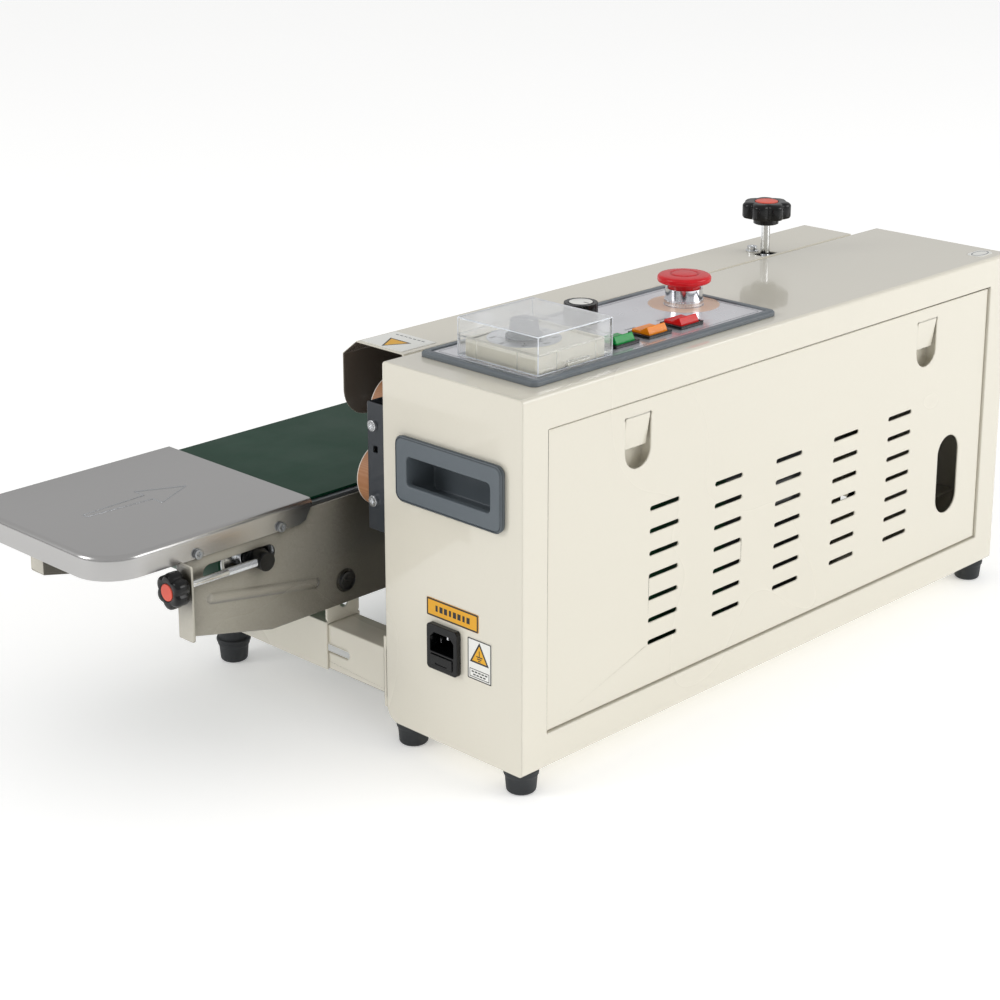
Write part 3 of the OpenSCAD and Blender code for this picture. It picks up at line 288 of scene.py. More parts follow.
def film(name):
    """Printed film: yellow on the voltage plate, white on the other stickers."""
    f = Finish(name, "E6A50C", 0.36)
    f.tint(f.noise(60, detail=4), "F6C63F", 0.18)
    offset = f.node("ShaderNodeMath", operation="SUBTRACT")
    f.link(f.axis("Z"), offset.inputs[0])
    offset.inputs[1].default_value = at(0, *VOLT_PLACE).z
    distance = f.node("ShaderNodeMath", operation="ABSOLUTE")
    f.link(offset.outputs[0], distance.inputs[0])
    f.tint(distance.outputs[0], "EDEDE8", 1.0, (VOLT_HALF_H - 0.1) * MM, (VOLT_HALF_H + 0.1) * MM)
    f.bump(f.noise(900, detail=2), 0.00001, 0.6)
    return f.material


def controller_face(name):
    """Cream moulding whose dial disc is brushed silver."""
    f = Finish(name, "E2DDC9", 0.35)
    f.tint(f.noise(60, detail=4), "EEEADB", 0.18)
    centre = middle("temperature_knob")
    offset = f.node("ShaderNodeVectorMath", operation="SUBTRACT")
    f.link(f.place, offset.inputs[0])
    offset.inputs[1].default_value = (centre.x, centre.y, 0)
    flatten = f.node("ShaderNodeVectorMath", operation="MULTIPLY")
    f.link(offset.outputs[0], flatten.inputs[0])
    flatten.inputs[1].default_value = (1, 1, 0)
    reach = f.node("ShaderNodeVectorMath", operation="LENGTH")
    f.link(flatten.outputs[0], reach.inputs[0])
    inside = f.spread(reach.outputs["Value"], 1.0, 0.0, (DIAL_FACE_R - 0.1) * MM, (DIAL_FACE_R + 0.1) * MM)
    above = f.spread(f.axis("Z"), 0.0, 1.0, at(0, 0, DIAL_FACE_Z - 0.1).z, at(0, 0, DIAL_FACE_Z + 0.1).z)
    disc = f.node("ShaderNodeMath", operation="MULTIPLY")
    f.link(inside, disc.inputs[0])
    f.link(above, disc.inputs[1])
    f.tint(disc.outputs[0], "C9CACC", 1.0, 0.0, 1.0)
    f.link(disc.outputs[0], f.shader.inputs["Metallic"])
    f.bump(f.noise(900, detail=2), 0.00003, 0.5)
    return f.material


def guard_paint_painted_shade(name, color, dark):
    """Housing paint outside, with painted shade inside the channel of the guard: faces that look into it are
    near black.
    """
    f = Finish(name, color, 0.26, Coat_Weight=0.5, Coat_Roughness=0.06)
    powder_coat(f, dark, 0.26)
    heart = f.node("ShaderNodeVectorMath", operation="SUBTRACT")
    f.link(f.place, heart.inputs[0])
    heart.inputs[1].default_value = at(*GUARD_HEART)
    across = f.node("ShaderNodeVectorMath", operation="MULTIPLY")
    f.link(heart.outputs[0], across.inputs[0])
    across.inputs[1].default_value = (0, 1, 1)
    facing = f.node("ShaderNodeVectorMath", operation="DOT_PRODUCT")
    f.link(across.outputs[0], facing.inputs[0])
    f.link(f.node("ShaderNodeTexCoord").outputs["Normal"], facing.inputs[1])
    # Painted shade: faces turned towards the channel's middle are tinted near black
    f.tint(facing.outputs["Value"], "61584F", 1.0, -0.002, -0.003)
    return f.material


def occlusion_shaded_paint(name, color, dark):
    """Housing paint of the conveyor's frame, with painted shade: darker where other parts stand close."""
    f = Finish(name, color, 0.26, Coat_Weight=0.5, Coat_Roughness=0.06)
    powder_coat(f, dark, 0.26)
    occlusion_shade = f.node("ShaderNodeAmbientOcclusion", samples=12)
    occlusion_shade.inputs["Distance"].default_value = 0.3
    # Painted shade: ambient occlusion within 0.3 m tints the paint towards dark brown
    f.tint(occlusion_shade.outputs["AO"], "4A463C", 1.0, 0.82, 0.28)
    return f.material


HOUSING_PAINT = ("E2DDCE", "DBD6C6")
MATERIALS = {
    "body_paint": paint("body_paint", *HOUSING_PAINT, 0.26),
    "handle_plastic": plastic("handle_plastic", "5F676D", "71797F", 0.42, grain=1400, depth=0.00006),
    "black_plastic": plastic("black_plastic", "050607", "0F1012", 0.22,
                             Specular_IOR_Level=0.3, Coat_Weight=0.1),
    "label_film": film("label_film"),
    "bezel_plastic": plastic("bezel_plastic", "6C7379", "7C8389", 0.4, grain=1400, depth=0.00005),
    "panel_foil": plastic("panel_foil", "E0E0E6", "EAEAEE", 0.2, depth=0.000002,
                          Metallic=0.55, Coat_Weight=0.6),
    "controller_plastic": controller_face("controller_plastic"),
    "clear_plastic": clear_acrylic("clear_plastic"),
    "chrome": metal("chrome", "E6E7EA", "D4D5D9", 0.1, grain=40, depth=0.000001, contrast=0.4),
    "red_plastic": lens("red_plastic", "DE1522", "C00E1A"),
    "green_lens": lens("green_lens", "06A045", "047A36"),
    "amber_lens": lens("amber_lens", "F98E08", "E67C02"),
    "red_lens": lens("red_lens", "E01212", "BA0C0C"),
    "zinc_steel": metal("zinc_steel", "E0E2E4", "BCBEC0", 0.2, grain=500, depth=0.00001, contrast=0.6),
    "dark_bracket": paint("dark_bracket", "2B3036", "23272C", 0.42, 0.4),
    "ptfe_band": woven("ptfe_band", "A8744F", "C79A74", "E9E4DA"),
    "machined_aluminium": metal("machined_aluminium", "BFC1C4", "8F9194", 0.28, grain=800),
    "brass": metal("brass", "BE9450", "8A6830", 0.3, grain=500),
    "gear_nylon": plastic("gear_nylon", "DAD5C4", "E8E4D6", 0.45),
    "steel_plate": metal("steel_plate", "A4A7AA", "7E8184", 0.36, (1, 1, 0.1), 260),
    "motor_grey": paint("motor_grey", "484C51", "3A3E42", 0.45),
    "board_green": plastic("board_green", "1C5636", "2A6E48", 0.4),
    "rubber": rubber("rubber", "202326", "34383C", 0.6),
    "belt_pvc": belt_surface("belt_pvc"),
    "stainless": metal("stainless", "B6B5B4", "ACABAA", 0.25, (0.03, 1, 1), 900, 0.0000002, 0.18),
    "wheel_rubber": rubber("wheel_rubber", "34332F", "4A4843", 0.55),
}
# Nodes whose paint differs from that of their slot: both add painted shade
OWN_PAINT = {
    "safety_guard": guard_paint_painted_shade("guard_paint_painted_shade", *HOUSING_PAINT),
    "side_plates": occlusion_shaded_paint("conveyor_paint_painted_shade", *HOUSING_PAINT),
}
# Finishes of pieces that are added to the CAD's own
CORAL = plastic("coral_cap", "EE5B46", "F4745F", 0.35, depth=0.00002)
# Painted highlight: near-white plastic for the lines that stand in for light along the clear cover's edges
EDGE_HIGHLIGHT = plastic("cover_edge", "F2F7FF", "FFFFFF", 0.2, depth=0.000005, Coat_Weight=1.0)
YELLOW = plastic("yellow_print", "E9AC10", "F2BC2C", 0.38, depth=0.000005)
INK = plastic("printed_ink", "1B1C1E", "2A2B2D", 0.4, depth=0.000005)
WHITE = plastic("white_print", "EDEDE8", "F8F8F4", 0.4, depth=0.000005)
GREY_PRINT = plastic("grey_print", "6A6E73", "7B7F84", 0.4, depth=0.000005)
HALO = plastic("orange_print", "DDBFA8", "E6CDBA", 0.35, depth=0.000005)


def paint_frame():
    """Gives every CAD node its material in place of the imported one."""
    for name, obj in NODES.items():
        if not obj.material_slots:
            obj.data.materials.append(None)
        for entry in obj.material_slots:
            entry.material = OWN_PAINT.get(name) or MATERIALS[SLOT_OF[name]]


# ---------------------------------------------------------------- rounded CAD edges

# Radius in mm and number of steps for each node whose edges are rounded
EDGES = {
    "main_housing": (0.7, 2), "rear_panel": (0.5, 2), "safety_guard": (0.5, 2), "end_handles": (1.3, 3),
    "power_inlet": (0.5, 2), "fuse_drawer": (0.3, 2), "panel_bezel": (0.7, 3), "panel_plate": (0.15, 1),
    "controller_base": (0.6, 2), "clear_cover": (0.45, 2), "temperature_knob": (0.6, 2),
    "speed_knob": (0.12, 1), "estop_collar": (0.2, 1), "estop_button": (0.5, 2), "rocker_bezels": (0.4, 2),
    "rocker_green": (0.5, 2), "rocker_amber": (0.5, 2), "rocker_red": (0.5, 2), "housing_screws": (0.35, 2),
    "infeed_bracket": (0.5, 2), "support_arms": (0.6, 2), "slide_brackets": (0.5, 2), "side_plates": (0.5, 2),
    "belt_bed": (0.3, 1), "heating_blocks": (0.6, 2), "cooling_blocks": (0.3, 1), "pressure_bridge": (0.5, 2),
    "emboss_carriage": (0.5, 2), "drive_motor": (0.3, 1), "mechanism_plate": (0.3, 1),
    "tension_blocks": (0.5, 2), "lower_idler": (0.4, 1), "upper_idler": (0.4, 1),
    "lower_drive_pulley": (0.4, 1), "upper_drive_pulley": (0.4, 1), "drive_roller": (0.8, 2),
    "tail_roller": (0.8, 2), "housing_feet": (0.8, 2), "bracket_feet": (0.8, 2), "idler_studs": (0.3, 1),
}
# Nodes whose faces have openings that merging would fill
KEEP_FACES = {"panel_bezel", "estop_button", "rocker_bezels", "belt_bed", "bracket_feet", "drive_motor",
              "speed_knob"}


def soften(obj, radius, steps, merge):
    """Rounds an object's edges with modifiers, which leave its own mesh as it is."""
    obj.data.polygons.foreach_set("use_smooth", [True] * len(obj.data.polygons))
    weld = obj.modifiers.new("weld", "WELD")
    weld.merge_threshold = 0.00001
    if merge:
        flat = obj.modifiers.new("flat", "DECIMATE")
        flat.decimate_type = "DISSOLVE"
        flat.angle_limit = math.radians(0.4)
    bevel = obj.modifiers.new("edges", "BEVEL")
    bevel.width = radius * MM
    bevel.segments = steps
    bevel.limit_method = "ANGLE"
    bevel.angle_limit = math.radians(38)
    bevel.use_clamp_overlap = False
    bevel.miter_outer = "MITER_ARC"
    even = obj.modifiers.new("even", "WEIGHTED_NORMAL")
    even.mode = "FACE_AREA"
    even.weight = 100


# ---------------------------------------------------------------- making pieces

def finish_piece(obj, body, material, replaced=()):
    """Gives a piece its material, the body that carries it and the nodes it stands for."""
    obj.data.materials.append(material)
    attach(obj, body)
    if replaced:
        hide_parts(*replaced)


def mesh_object(name, points, faces, smooth=True):
    """A mesh whose points are in the row frame, in metres."""
    data = bpy.data.meshes.new(name)
    data.from_pydata([tuple(p) for p in points], [], faces)
    data.validate()
    made = bmesh.new()
    made.from_mesh(data)
    bmesh.ops.recalc_face_normals(made, faces=made.faces)
    made.to_mesh(data)
    made.free()
    data.polygons.foreach_set("use_smooth", [smooth] * len(data.polygons))
    data.set_sharp_from_angle(angle=math.radians(35))
    obj = bpy.data.objects.new(name, data)
    bpy.context.scene.collection.objects.link(obj)
    return obj


def axes_for(direction):
    """Two unit vectors square to a direction and to each other."""
    direction = direction.normalized()
    side = Y_AXIS if abs(direction.y) < 0.9 else X_AXIS
    u = side.cross(direction).normalized()
    return u, direction.cross(u)


def skin(rings):
    """Points and faces over rings of equal length, with a cap on the first and the last."""
    count = len(rings[0])
    points = [p for ring in rings for p in ring]
    faces = []
    for i in range(len(rings) - 1):
        a = i * count
        b = a + count
        for k in range(count):
            n = (k + 1) % count
            faces.append((a + k, a + n, b + n, b + k))
    faces.append(tuple(range(count)))
    faces.append(tuple(range((len(rings) - 1) * count, len(rings) * count)))
    return points, faces


def turned(name, profile, base, direction, steps=64, outline=None):
    """A solid from (radius, height, lobing) rows in mm along a direction from base."""
    u, v = axes_for(direction)
    rings = []
    for radius, height, *lobing in profile:
        centre = base + direction * height * MM
        ring = []
        for k in range(steps):
            angle = 2 * math.pi * k / steps
            r = radius
            if outline and lobing:
                r = radius * (1 - lobing[0] * (1 - outline(angle)))
            ring.append(centre + (u * math.cos(angle) + v * math.sin(angle)) * r * MM)
        rings.append(ring)
    return mesh_object(name, *skin(rings))


def threaded(name, start, end, radius, pitch, depth=0.35, thread_to=1.0):
    """A rod with rounded thread ridges over part of its length; lengths in mm."""
    direction = (end - start).normalized()
    length = (end - start).length / MM
    profile = [(radius - 0.6, 0), (radius, 0.6)]
    height = 1.0
    while height < thread_to * length - 1.0:
        profile.append((radius, height))
        profile.append((radius - depth, height + pitch / 2))
        height += pitch
    profile += [(radius, min(length - 0.6, height + 0.2)), (radius - 0.4, length)]
    return turned(name, profile, start, direction, 28)


def wire(name, path, radius, steps=10):
    """A round wire along a path of points."""
    rings = []
    for i, p in enumerate(path):
        ahead = path[min(i + 1, len(path) - 1)] - path[max(i - 1, 0)]
        ahead.normalize()
        u = ahead.cross(Z_AXIS)
        if u.length < 0.2:
            u = ahead.cross(X_AXIS)
        u.normalize()
        v = ahead.cross(u)
        rings.append([p + (u * math.cos(t) + v * math.sin(t)) * radius * MM
                      for t in [2 * math.pi * k / steps for k in range(steps)]])
    return mesh_object(name, *skin(rings))


def circle2d(x, y, r, steps=48):
    """Outline of a circle."""
    return [(x + r * math.cos(2 * math.pi * k / steps), y + r * math.sin(2 * math.pi * k / steps))
            for k in range(steps)]


def rounded2d(w, h, r, steps=8):
    """Outline of a rectangle with round corners, about the origin."""
    points = []
    for cx, cy, turn in ((1, 1, 0), (-1, 1, 90), (-1, -1, 180), (1, -1, 270)):
        for k in range(steps + 1):
            angle = math.radians(turn + 90 * k / steps)
            points.append((cx * (w / 2 - r) + r * math.cos(angle), cy * (h / 2 - r) + r * math.sin(angle)))
    return points


def bar2d(x, y, w, h):
    """Outline of a rectangle about a point."""
    return [(x - w / 2, y - h / 2), (x + w / 2, y - h / 2), (x + w / 2, y + h / 2), (x - w / 2, y + h / 2)]


def laid_on(name, curve, origin, u, v, lift):
    """Turns a flat curve into an object on a plane, lifted off it by some mm."""
    flat = bpy.data.objects.new(name, curve)
    bpy.context.scene.collection.objects.link(flat)
    bpy.context.view_layer.update()
    data = bpy.data.meshes.new_from_object(flat.evaluated_get(bpy.context.evaluated_depsgraph_get()))
    bpy.data.objects.remove(flat)
    normal = u.cross(v)
    place = Matrix((u, v, normal)).transposed().to_4x4()
    place.translation = origin + normal * lift * MM
    data.transform(place)
    data.name = name
    obj = bpy.data.objects.new(name, data)
    bpy.context.scene.collection.objects.link(obj)
    return obj


def print_on(name, loops, origin, u, v, lift=0.0):
    """Closed outlines in mm, filled with their holes left open, laid on a plane."""
    curve = bpy.data.curves.new(name, "CURVE")
    curve.dimensions = "2D"
    curve.fill_mode = "BOTH"
    curve.extrude = INK_T * MM / 2
    for loop in loops:
        spline = curve.splines.new("POLY")
        spline.points.add(len(loop) - 1)
        for point, (x, y) in zip(spline.points, loop):
            point.co = (x * MM, y * MM, 0, 1)
        spline.use_cyclic_u = True
    return laid_on(name, curve, origin, u, v, lift + INK_T / 2)


def numeral(name, text, size, origin, u, v):
    """A number printed on a plane, centred at origin; size in mm."""
    curve = bpy.data.curves.new(name, "FONT")
    curve.body = text
    curve.size = size * MM
    curve.align_x = "CENTER"
    curve.align_y = "CENTER"
    curve.extrude = 0.03 * MM
    return laid_on(name, curve, origin, u, v, 0.04)


# ---------------------------------------------------------------- knobs, rods and spring

def lobed(count, depth, phase=0.0):
    """Relative radius of a grip with broad lobes and rounded hollows between them."""
    def at_angle(angle):
        wave = math.sqrt(math.cos(count * (angle - phase) / 2) ** 2 + 0.02)
        return 1 - depth * (1 - min(1.0, wave) ** 0.8)
    return at_angle


def star_knob(name, base, direction, d, h, lobes, hub_r, hub_h, body, phase=0.0):
    """Grip of a star knob and its coral cap; sizes in mm."""
    r = d / 2
    outline = lobed(lobes, 0.22, phase)
    hub = [(hub_r * 0.9, 0), (hub_r, 0.6), (hub_r, hub_h - 0.4)]
    shoulder = [(r * 0.62, hub_h, 0.4), (r * 0.86, hub_h + 0.3, 0.8), (r * 0.95, hub_h + 0.9, 0.95),
                (r * 0.99, hub_h + 2.0, 1), (r, hub_h + 3.2, 1)]
    crown = [(r, h - 3.4, 1), (r * 0.985, h - 2.2, 1), (r * 0.93, h - 1.0, 1), (r * 0.86, h - 0.35, 0.95),
             (r * 0.76, h, 0.8), (r * 0.53, h, 0.1)]
    seat = [(r * 0.49, h - 0.3, 0), (r * 0.49, h - 1.2, 0), (r * 0.2, h - 1.2, 0)]
    knob = turned(name, hub + shoulder + crown + seat, base, direction, 168, outline)
    cap = [(r * 0.4, h - 1.2), (r * 0.46, h - 1.1), (r * 0.46, h), (r * 0.43, h + 0.35),
           (r * 0.2, h + CAP_RISE)]
    top = turned(name + "_cap", cap, base, direction, 64)
    finish_piece(top, body, CORAL)
    return knob


def pressure_screw():
    """Tall star knob on its rod, threaded at the lower end."""
    low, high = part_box("pressure_knob")
    centre = at(*PRESSURE_AXIS)
    grip_h = 19.6
    base = Vector((centre.x, centre.y, high.z - (grip_h + CAP_RISE) * MM))
    knob = star_knob("pressure_grip", base, Z_AXIS, 42, grip_h, 7, 10.8, 5, "pressure_screw", 0.3)
    finish_piece(knob, "pressure_screw", MATERIALS["black_plastic"], ["pressure_knob"])
    tip = Vector((centre.x, centre.y, low.z + 0.1 * MM))
    rod = threaded("pressure_rod", tip, base + Z_AXIS * 2 * MM, 4, SCREW_PITCH, thread_to=0.35)
    finish_piece(rod, "pressure_screw", MATERIALS["zinc_steel"])


def pressure_coil():
    """Compression spring whose turns lie closer at both ends."""
    low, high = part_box("pressure_spring")
    centre = middle("pressure_spring")
    wire_r = 0.9
    turns = 6
    steps = turns * 24
    radius = (high.x - low.x) / 2 - wire_r * MM
    rise = high.z - low.z - 2 * wire_r * MM
    path = []
    for k in range(steps + 1):
        part = k / steps
        height = part - 0.06 * math.sin(2 * math.pi * part)
        angle = 2 * math.pi * turns * part
        path.append(Vector((centre.x + radius * math.cos(angle), centre.y + radius * math.sin(angle),
                            low.z + wire_r * MM + height * rise)))
    coil = wire("pressure_coil", path, wire_r)
    finish_piece(coil, "pressure_plunger", MATERIALS["zinc_steel"], ["pressure_spring"])


def small_grip(name, base, direction, d, body, node):
    """Six-lobed grip of the tension and lock screws."""
    knob = star_knob(name, base, direction, d, SMALL_GRIP_H, 6, 7, 4, body)
    finish_piece(knob, body, MATERIALS["black_plastic"], [node])


def tension_screws():
    """Belt-tension screws at the infeed end, threaded over the inner half."""
    for side in ("rear", "front"):
        node = "tension_knob_" + side
        low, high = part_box(node)
        centre = (low + high) / 2
        body = side + "_tension_screw"
        base = Vector((high.x - (SMALL_GRIP_H + CAP_RISE) * MM, centre.y, centre.z))
        small_grip("tension_grip_" + side, base, X_AXIS, TENSION_GRIP_D, body, node)
        tip = Vector((low.x, centre.y, centre.z))
        rod = threaded("tension_rod_" + side, tip, base + X_AXIS * 2 * MM, 3, SCREW_PITCH,
                       depth=0.25, thread_to=0.5)
        finish_piece(rod, body, MATERIALS["zinc_steel"])


def lock_screws():
    """Screws that hold the sliding brackets, each with its nut."""
    for end, direction in (("infeed", X_AXIS), ("outfeed", -X_AXIS)):
        node = "lock_knob_" + end
        low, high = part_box(node)
        centre = (low + high) / 2
        body = end + "_lock"
        outer = high.x if direction.x > 0 else low.x
        inner = low.x if direction.x > 0 else high.x
        base = Vector((outer, centre.y, centre.z)) - direction * (SMALL_GRIP_H + CAP_RISE) * MM
        small_grip("lock_grip_" + end, base, direction, LOCK_GRIP_D, body, node)
        start = Vector((inner, centre.y, centre.z))
        stud = threaded("lock_stud_" + end, start, base + direction * 2 * MM, 3, 1.0, depth=0.25)
        finish_piece(stud, body, MATERIALS["zinc_steel"])
        nut = turned("lock_nut_" + end, [(5.6, 0), (6, 0.4), (6, 4.6), (5.6, 5)], start, direction, 6)
        finish_piece(nut, body, MATERIALS["zinc_steel"])


# ---------------------------------------------------------------- infeed plate

def infeed_plate():
    """Folded stainless plate: rounded top edge, round free corners and a hem cut away beside the belt."""
    low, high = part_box("infeed_plate")
    corner_r = 32 * MM
    fold_r = 4.2 * MM
    sheet = 1.5 * MM
    notch_r = 14 * MM
    inner_r = fold_r - sheet
    straight_steps = 24
    corner_steps = 14
    fold_steps = 6

    def outline(inset):
        """Three open sides of the plate, set in from its outer face."""
        r = corner_r - inset
        x2, y1, y2 = high.x - inset, low.y + inset, high.y - inset
        straight = [low.x + (x2 - r - low.x) * k / straight_steps for k in range(straight_steps)]
        turn = [math.pi / 2 * k / corner_steps for k in range(corner_steps + 1)]
        points = [(x, y1) for x in straight]
        points += [(x2 - r + r * math.sin(t), y1 + r - r * math.cos(t)) for t in turn]
        points += [(x2 - r + r * math.cos(t), y2 - r + r * math.sin(t)) for t in turn]
        points += [(x, y2) for x in reversed(straight)]
        return points

    def hem(x):
        """Height of the hem's lower edge."""
        reach = x - low.x
        if reach >= notch_r:
            return low.z
        return low.z + notch_r - math.sqrt(max(0.0, notch_r ** 2 - (notch_r - reach) ** 2))

    def wall(inset, fall):
        """A ring on the hem, from its lower edge at 0 to the fold at 1."""
        return [Vector((x, y, hem(x) + (high.z - fold_r - hem(x)) * fall)) for x, y in outline(inset)]

    def fold(inset, r, k):
        """A ring on the rounded fold between hem and top."""
        t = math.pi / 2 * k / fold_steps
        return [Vector((x, y, high.z - fold_r + r * math.sin(t)))
                for x, y in outline(inset + r * (1 - math.cos(t)))]

    outer = [wall(0, fall) for fall in (0.0, 0.5, 1.0)]
    outer += [fold(0, fold_r, k) for k in range(1, fold_steps + 1)]
    inner = [fold(sheet, inner_r, k) for k in range(fold_steps, 0, -1)]
    inner += [wall(sheet, fall) for fall in (1.0, 0.5, 0.0)]
    rings = outer + inner
    count = len(outer[0])
    half = len(outer)
    points = [p for ring in rings for p in ring]
    faces = []
    for i in range(len(rings) - 1):
        if i == half - 1:
            continue
        for k in range(count - 1):
            a = i * count + k
            faces.append((a, a + 1, a + count + 1, a + count))
    top = (half - 1) * count
    under = half * count
    faces.append(tuple(range(top, top + count)))
    faces.append(tuple(reversed(range(under, under + count))))
    last = (len(rings) - 1) * count
    for k in range(count - 1):
        faces.append((k, k + 1, last + k + 1, last + k))
    near_cut = [i * count for i in range(len(rings))]
    far_cut = [i * count + count - 1 for i in range(len(rings))]
    for strip in (near_cut, far_cut):
        for i in range(half - 1):
            faces.append((strip[i], strip[i + 1], strip[-2 - i], strip[-1 - i]))
    faces.append((near_cut[half - 1], far_cut[half - 1], far_cut[half], near_cut[half]))
    plate = mesh_object("infeed_tray", points, faces)
    finish_piece(plate, "conveyor", MATERIALS["stainless"], ["infeed_plate"])
    arrow_on_plate(high.z)


def arrow_on_plate(top_z):
    """Pressed outline of an arrow that points along the feed."""
    tip, barb, tail = 64, 99, 156
    barb_w, neck_w, tail_w = 17, 5.5, 2.5
    half = [(tip, 0), (barb, barb_w), (barb, neck_w), (tail, tail_w)]
    corners = half + [(x, -w) for x, w in ((tail, tail_w), (barb, neck_w), (barb, barb_w))]
    middle_y = middle("infeed_plate").y
    ridge_r = 0.6
    z = top_z - 0.22 * MM
    path = []
    for i, (x, y) in enumerate(corners):
        nx, ny = corners[(i + 1) % len(corners)]
        steps = max(2, int(math.hypot(nx - x, ny - y) / 2))
        for k in range(steps):
            t = k / steps
            path.append(Vector((CORNER.x + (x + (nx - x) * t) * MM, middle_y + (y + (ny - y) * t) * MM, z)))
    path.append(path[0].copy())
    ridge = wire("feed_arrow", path, ridge_r, 12)
    finish_piece(ridge, "conveyor", MATERIALS["machined_aluminium"])


# ---------------------------------------------------------------- labels and prints

def stamp(name, loops, origin, u, v, material, body="machine", lift=0.0):
    """A printed shape laid on a face and carried by a body."""
    finish_piece(print_on(name, loops, origin, u, v, lift=lift), body, material)


def labels_on_end():
    """Labels beside the mains inlet: yellow voltage plate and earth warning, with bars for words."""

    def stick(name, loops, place, material, layer=1):
        origin = Vector((HOUSING[1].x, CORNER.y + place[0] * MM, CORNER.z + place[1] * MM))
        stamp(name, loops, origin, Y_AXIS, Z_AXIS, material, lift=LABEL_T + layer * INK_T)

    stick("voltage_border", [rounded2d(52.2, 13.6, 0.8), rounded2d(49.8, 11.2, 0.4)], VOLT_PLACE, INK, 0)
    bars = [bar2d(-16 + 4.6 * k, 0, 3.2 if k % 3 else 2.2, 4.6) for k in range(8)]
    stick("voltage_marks", bars, VOLT_PLACE, INK, 0)
    sheet = rounded2d(EARTH_W, EARTH_H, 0.8)
    stick("earth_sheet", [sheet], EARTH_PLACE, WHITE, 0)
    stick("earth_border", [sheet, rounded2d(EARTH_W - 1.6, EARTH_H - 1.6, 0.4)], EARTH_PLACE, INK)
    r = 11
    centre = 3.0
    turns = [2 * math.pi * k / 3 for k in range(3)]
    outer = [(r * math.sin(t), centre + r * math.cos(t)) for t in turns]
    inner = [(0.76 * x, centre + 0.76 * (y - centre)) for x, y in outer]
    stick("earth_triangle_rim", [outer, inner], EARTH_PLACE, INK)
    stick("earth_triangle", [inner], EARTH_PLACE, YELLOW)
    symbol = [bar2d(0, 5.4, 0.7, 4.4)]
    symbol += [bar2d(0, y, w, 0.8) for y, w in ((2.8, 6.2), (1.3, 4.2), (-0.2, 2.2))]
    stick("earth_symbol", symbol, EARTH_PLACE, INK, 2)
    small = [bar2d(0, -10.7, 19.6, 6.4), bar2d(0, -10.7, 18.6, 5.4)]
    small += [bar2d(-6.6 + 3.3 * k, -9.6, 2.4, 1.0) for k in range(5)]
    small += [bar2d(-5 + 3.3 * k, -11.8, 2.4, 1.0) for k in range(4)]
    stick("earth_lines", small, EARTH_PLACE, INK)


def cover_edge_highlights():
    """Painted highlights: pale lines where the clear cover's walls meet, standing in for the light its
    moulded edges carry.
    """
    low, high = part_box("clear_cover")
    inset = 1.1 * MM
    barrel = 3.6 * MM
    line_r = 0.4
    x1, x2, y1, y2 = low.x + inset, high.x - inset, low.y + inset, high.y - barrel
    roof, floor = high.z - 0.7 * MM, low.z + 0.9 * MM
    corners = [(x1, y1), (x2, y1), (x2, y2), (x1, y2)]

    def line(name, a, b):
        piece = wire(name, [a, (a + b) / 2, b], line_r, 8)
        finish_piece(piece, "controller_cover", EDGE_HIGHLIGHT)

    for level, z in (("top", roof), ("bottom", floor)):
        for k in range(4):
            a, b = corners[k], corners[(k + 1) % 4]
            line("cover_edge_%s_%d" % (level, k), Vector((*a, z)), Vector((*b, z)))
    for k, (x, y) in enumerate(corners):
        line("cover_edge_post_%d" % k, Vector((x, y, floor)), Vector((x, y, roof)))


def height_bolt_heads():
    """Black socket heads of the conveyor's height bolts, dished in the middle."""
    skirt = [(6.6, 0), (7.8, 0.05), (8.0, 0.4), (7.6, 0.8), (6.9, 0.85)]
    dish = [(6.3, 0.5), (3.4, 0.45), (2.0, 0.4)]
    stand_off = 1.65
    for side, outwards in (("rear", Y_AXIS), ("front", -Y_AXIS)):
        for end, x in BOLT_X.items():
            seat = at(x, PLATE_FACE_Y[side], BOLT_Z) + outwards * stand_off * MM
            head = turned("height_bolt_%s_%s" % (end, side), skirt + dish, seat, outwards, 40)
            finish_piece(head, "conveyor", MATERIALS["black_plastic"])


def stickers_on_top():
    """Warning sticker on the guard and an oval one at the outfeed end of the housing."""

    def stick(name, loops, origin, material, layer=1):
        stamp(name, loops, origin, X_AXIS, Y_AXIS, material, lift=STICKER_T + layer * INK_T)

    guard = Vector((CORNER.x - 42.5 * MM, CORNER.y - 168 * MM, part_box("safety_guard")[1].z))
    stick("guard_sticker", [rounded2d(34.6, 43.6, 0.8)], guard, WHITE, 0)
    r = 13
    centre = 4
    turns = [2 * math.pi * k / 3 for k in range(3)]
    outer = [(centre + r * math.cos(t), r * math.sin(t)) for t in turns]
    inner = [(centre + 0.8 * (x - centre), 0.8 * y) for x, y in outer]
    stick("guard_triangle_rim", [outer, inner], guard, INK)
    stick("guard_triangle", [inner], guard, YELLOW)
    stick("guard_lines", [bar2d(-12, -14 + 4.6 * k, 1.2, 3.2) for k in range(7)], guard, GREY_PRINT)
    end = Vector((CORNER.x - 583 * MM, CORNER.y - 16 * MM, HOUSING[1].z))
    oval = [(12.4 * math.cos(2 * math.pi * k / 48), 6.9 * math.sin(2 * math.pi * k / 48)) for k in range(48)]
    ring = [(0.86 * x, 0.8 * y) for x, y in oval]
    thin = [(0.78 * x, 0.68 * y) for x, y in oval]
    stick("end_sticker", [oval], end, WHITE, 0)
    stick("end_sticker_ring", [ring, thin], end, GREY_PRINT)


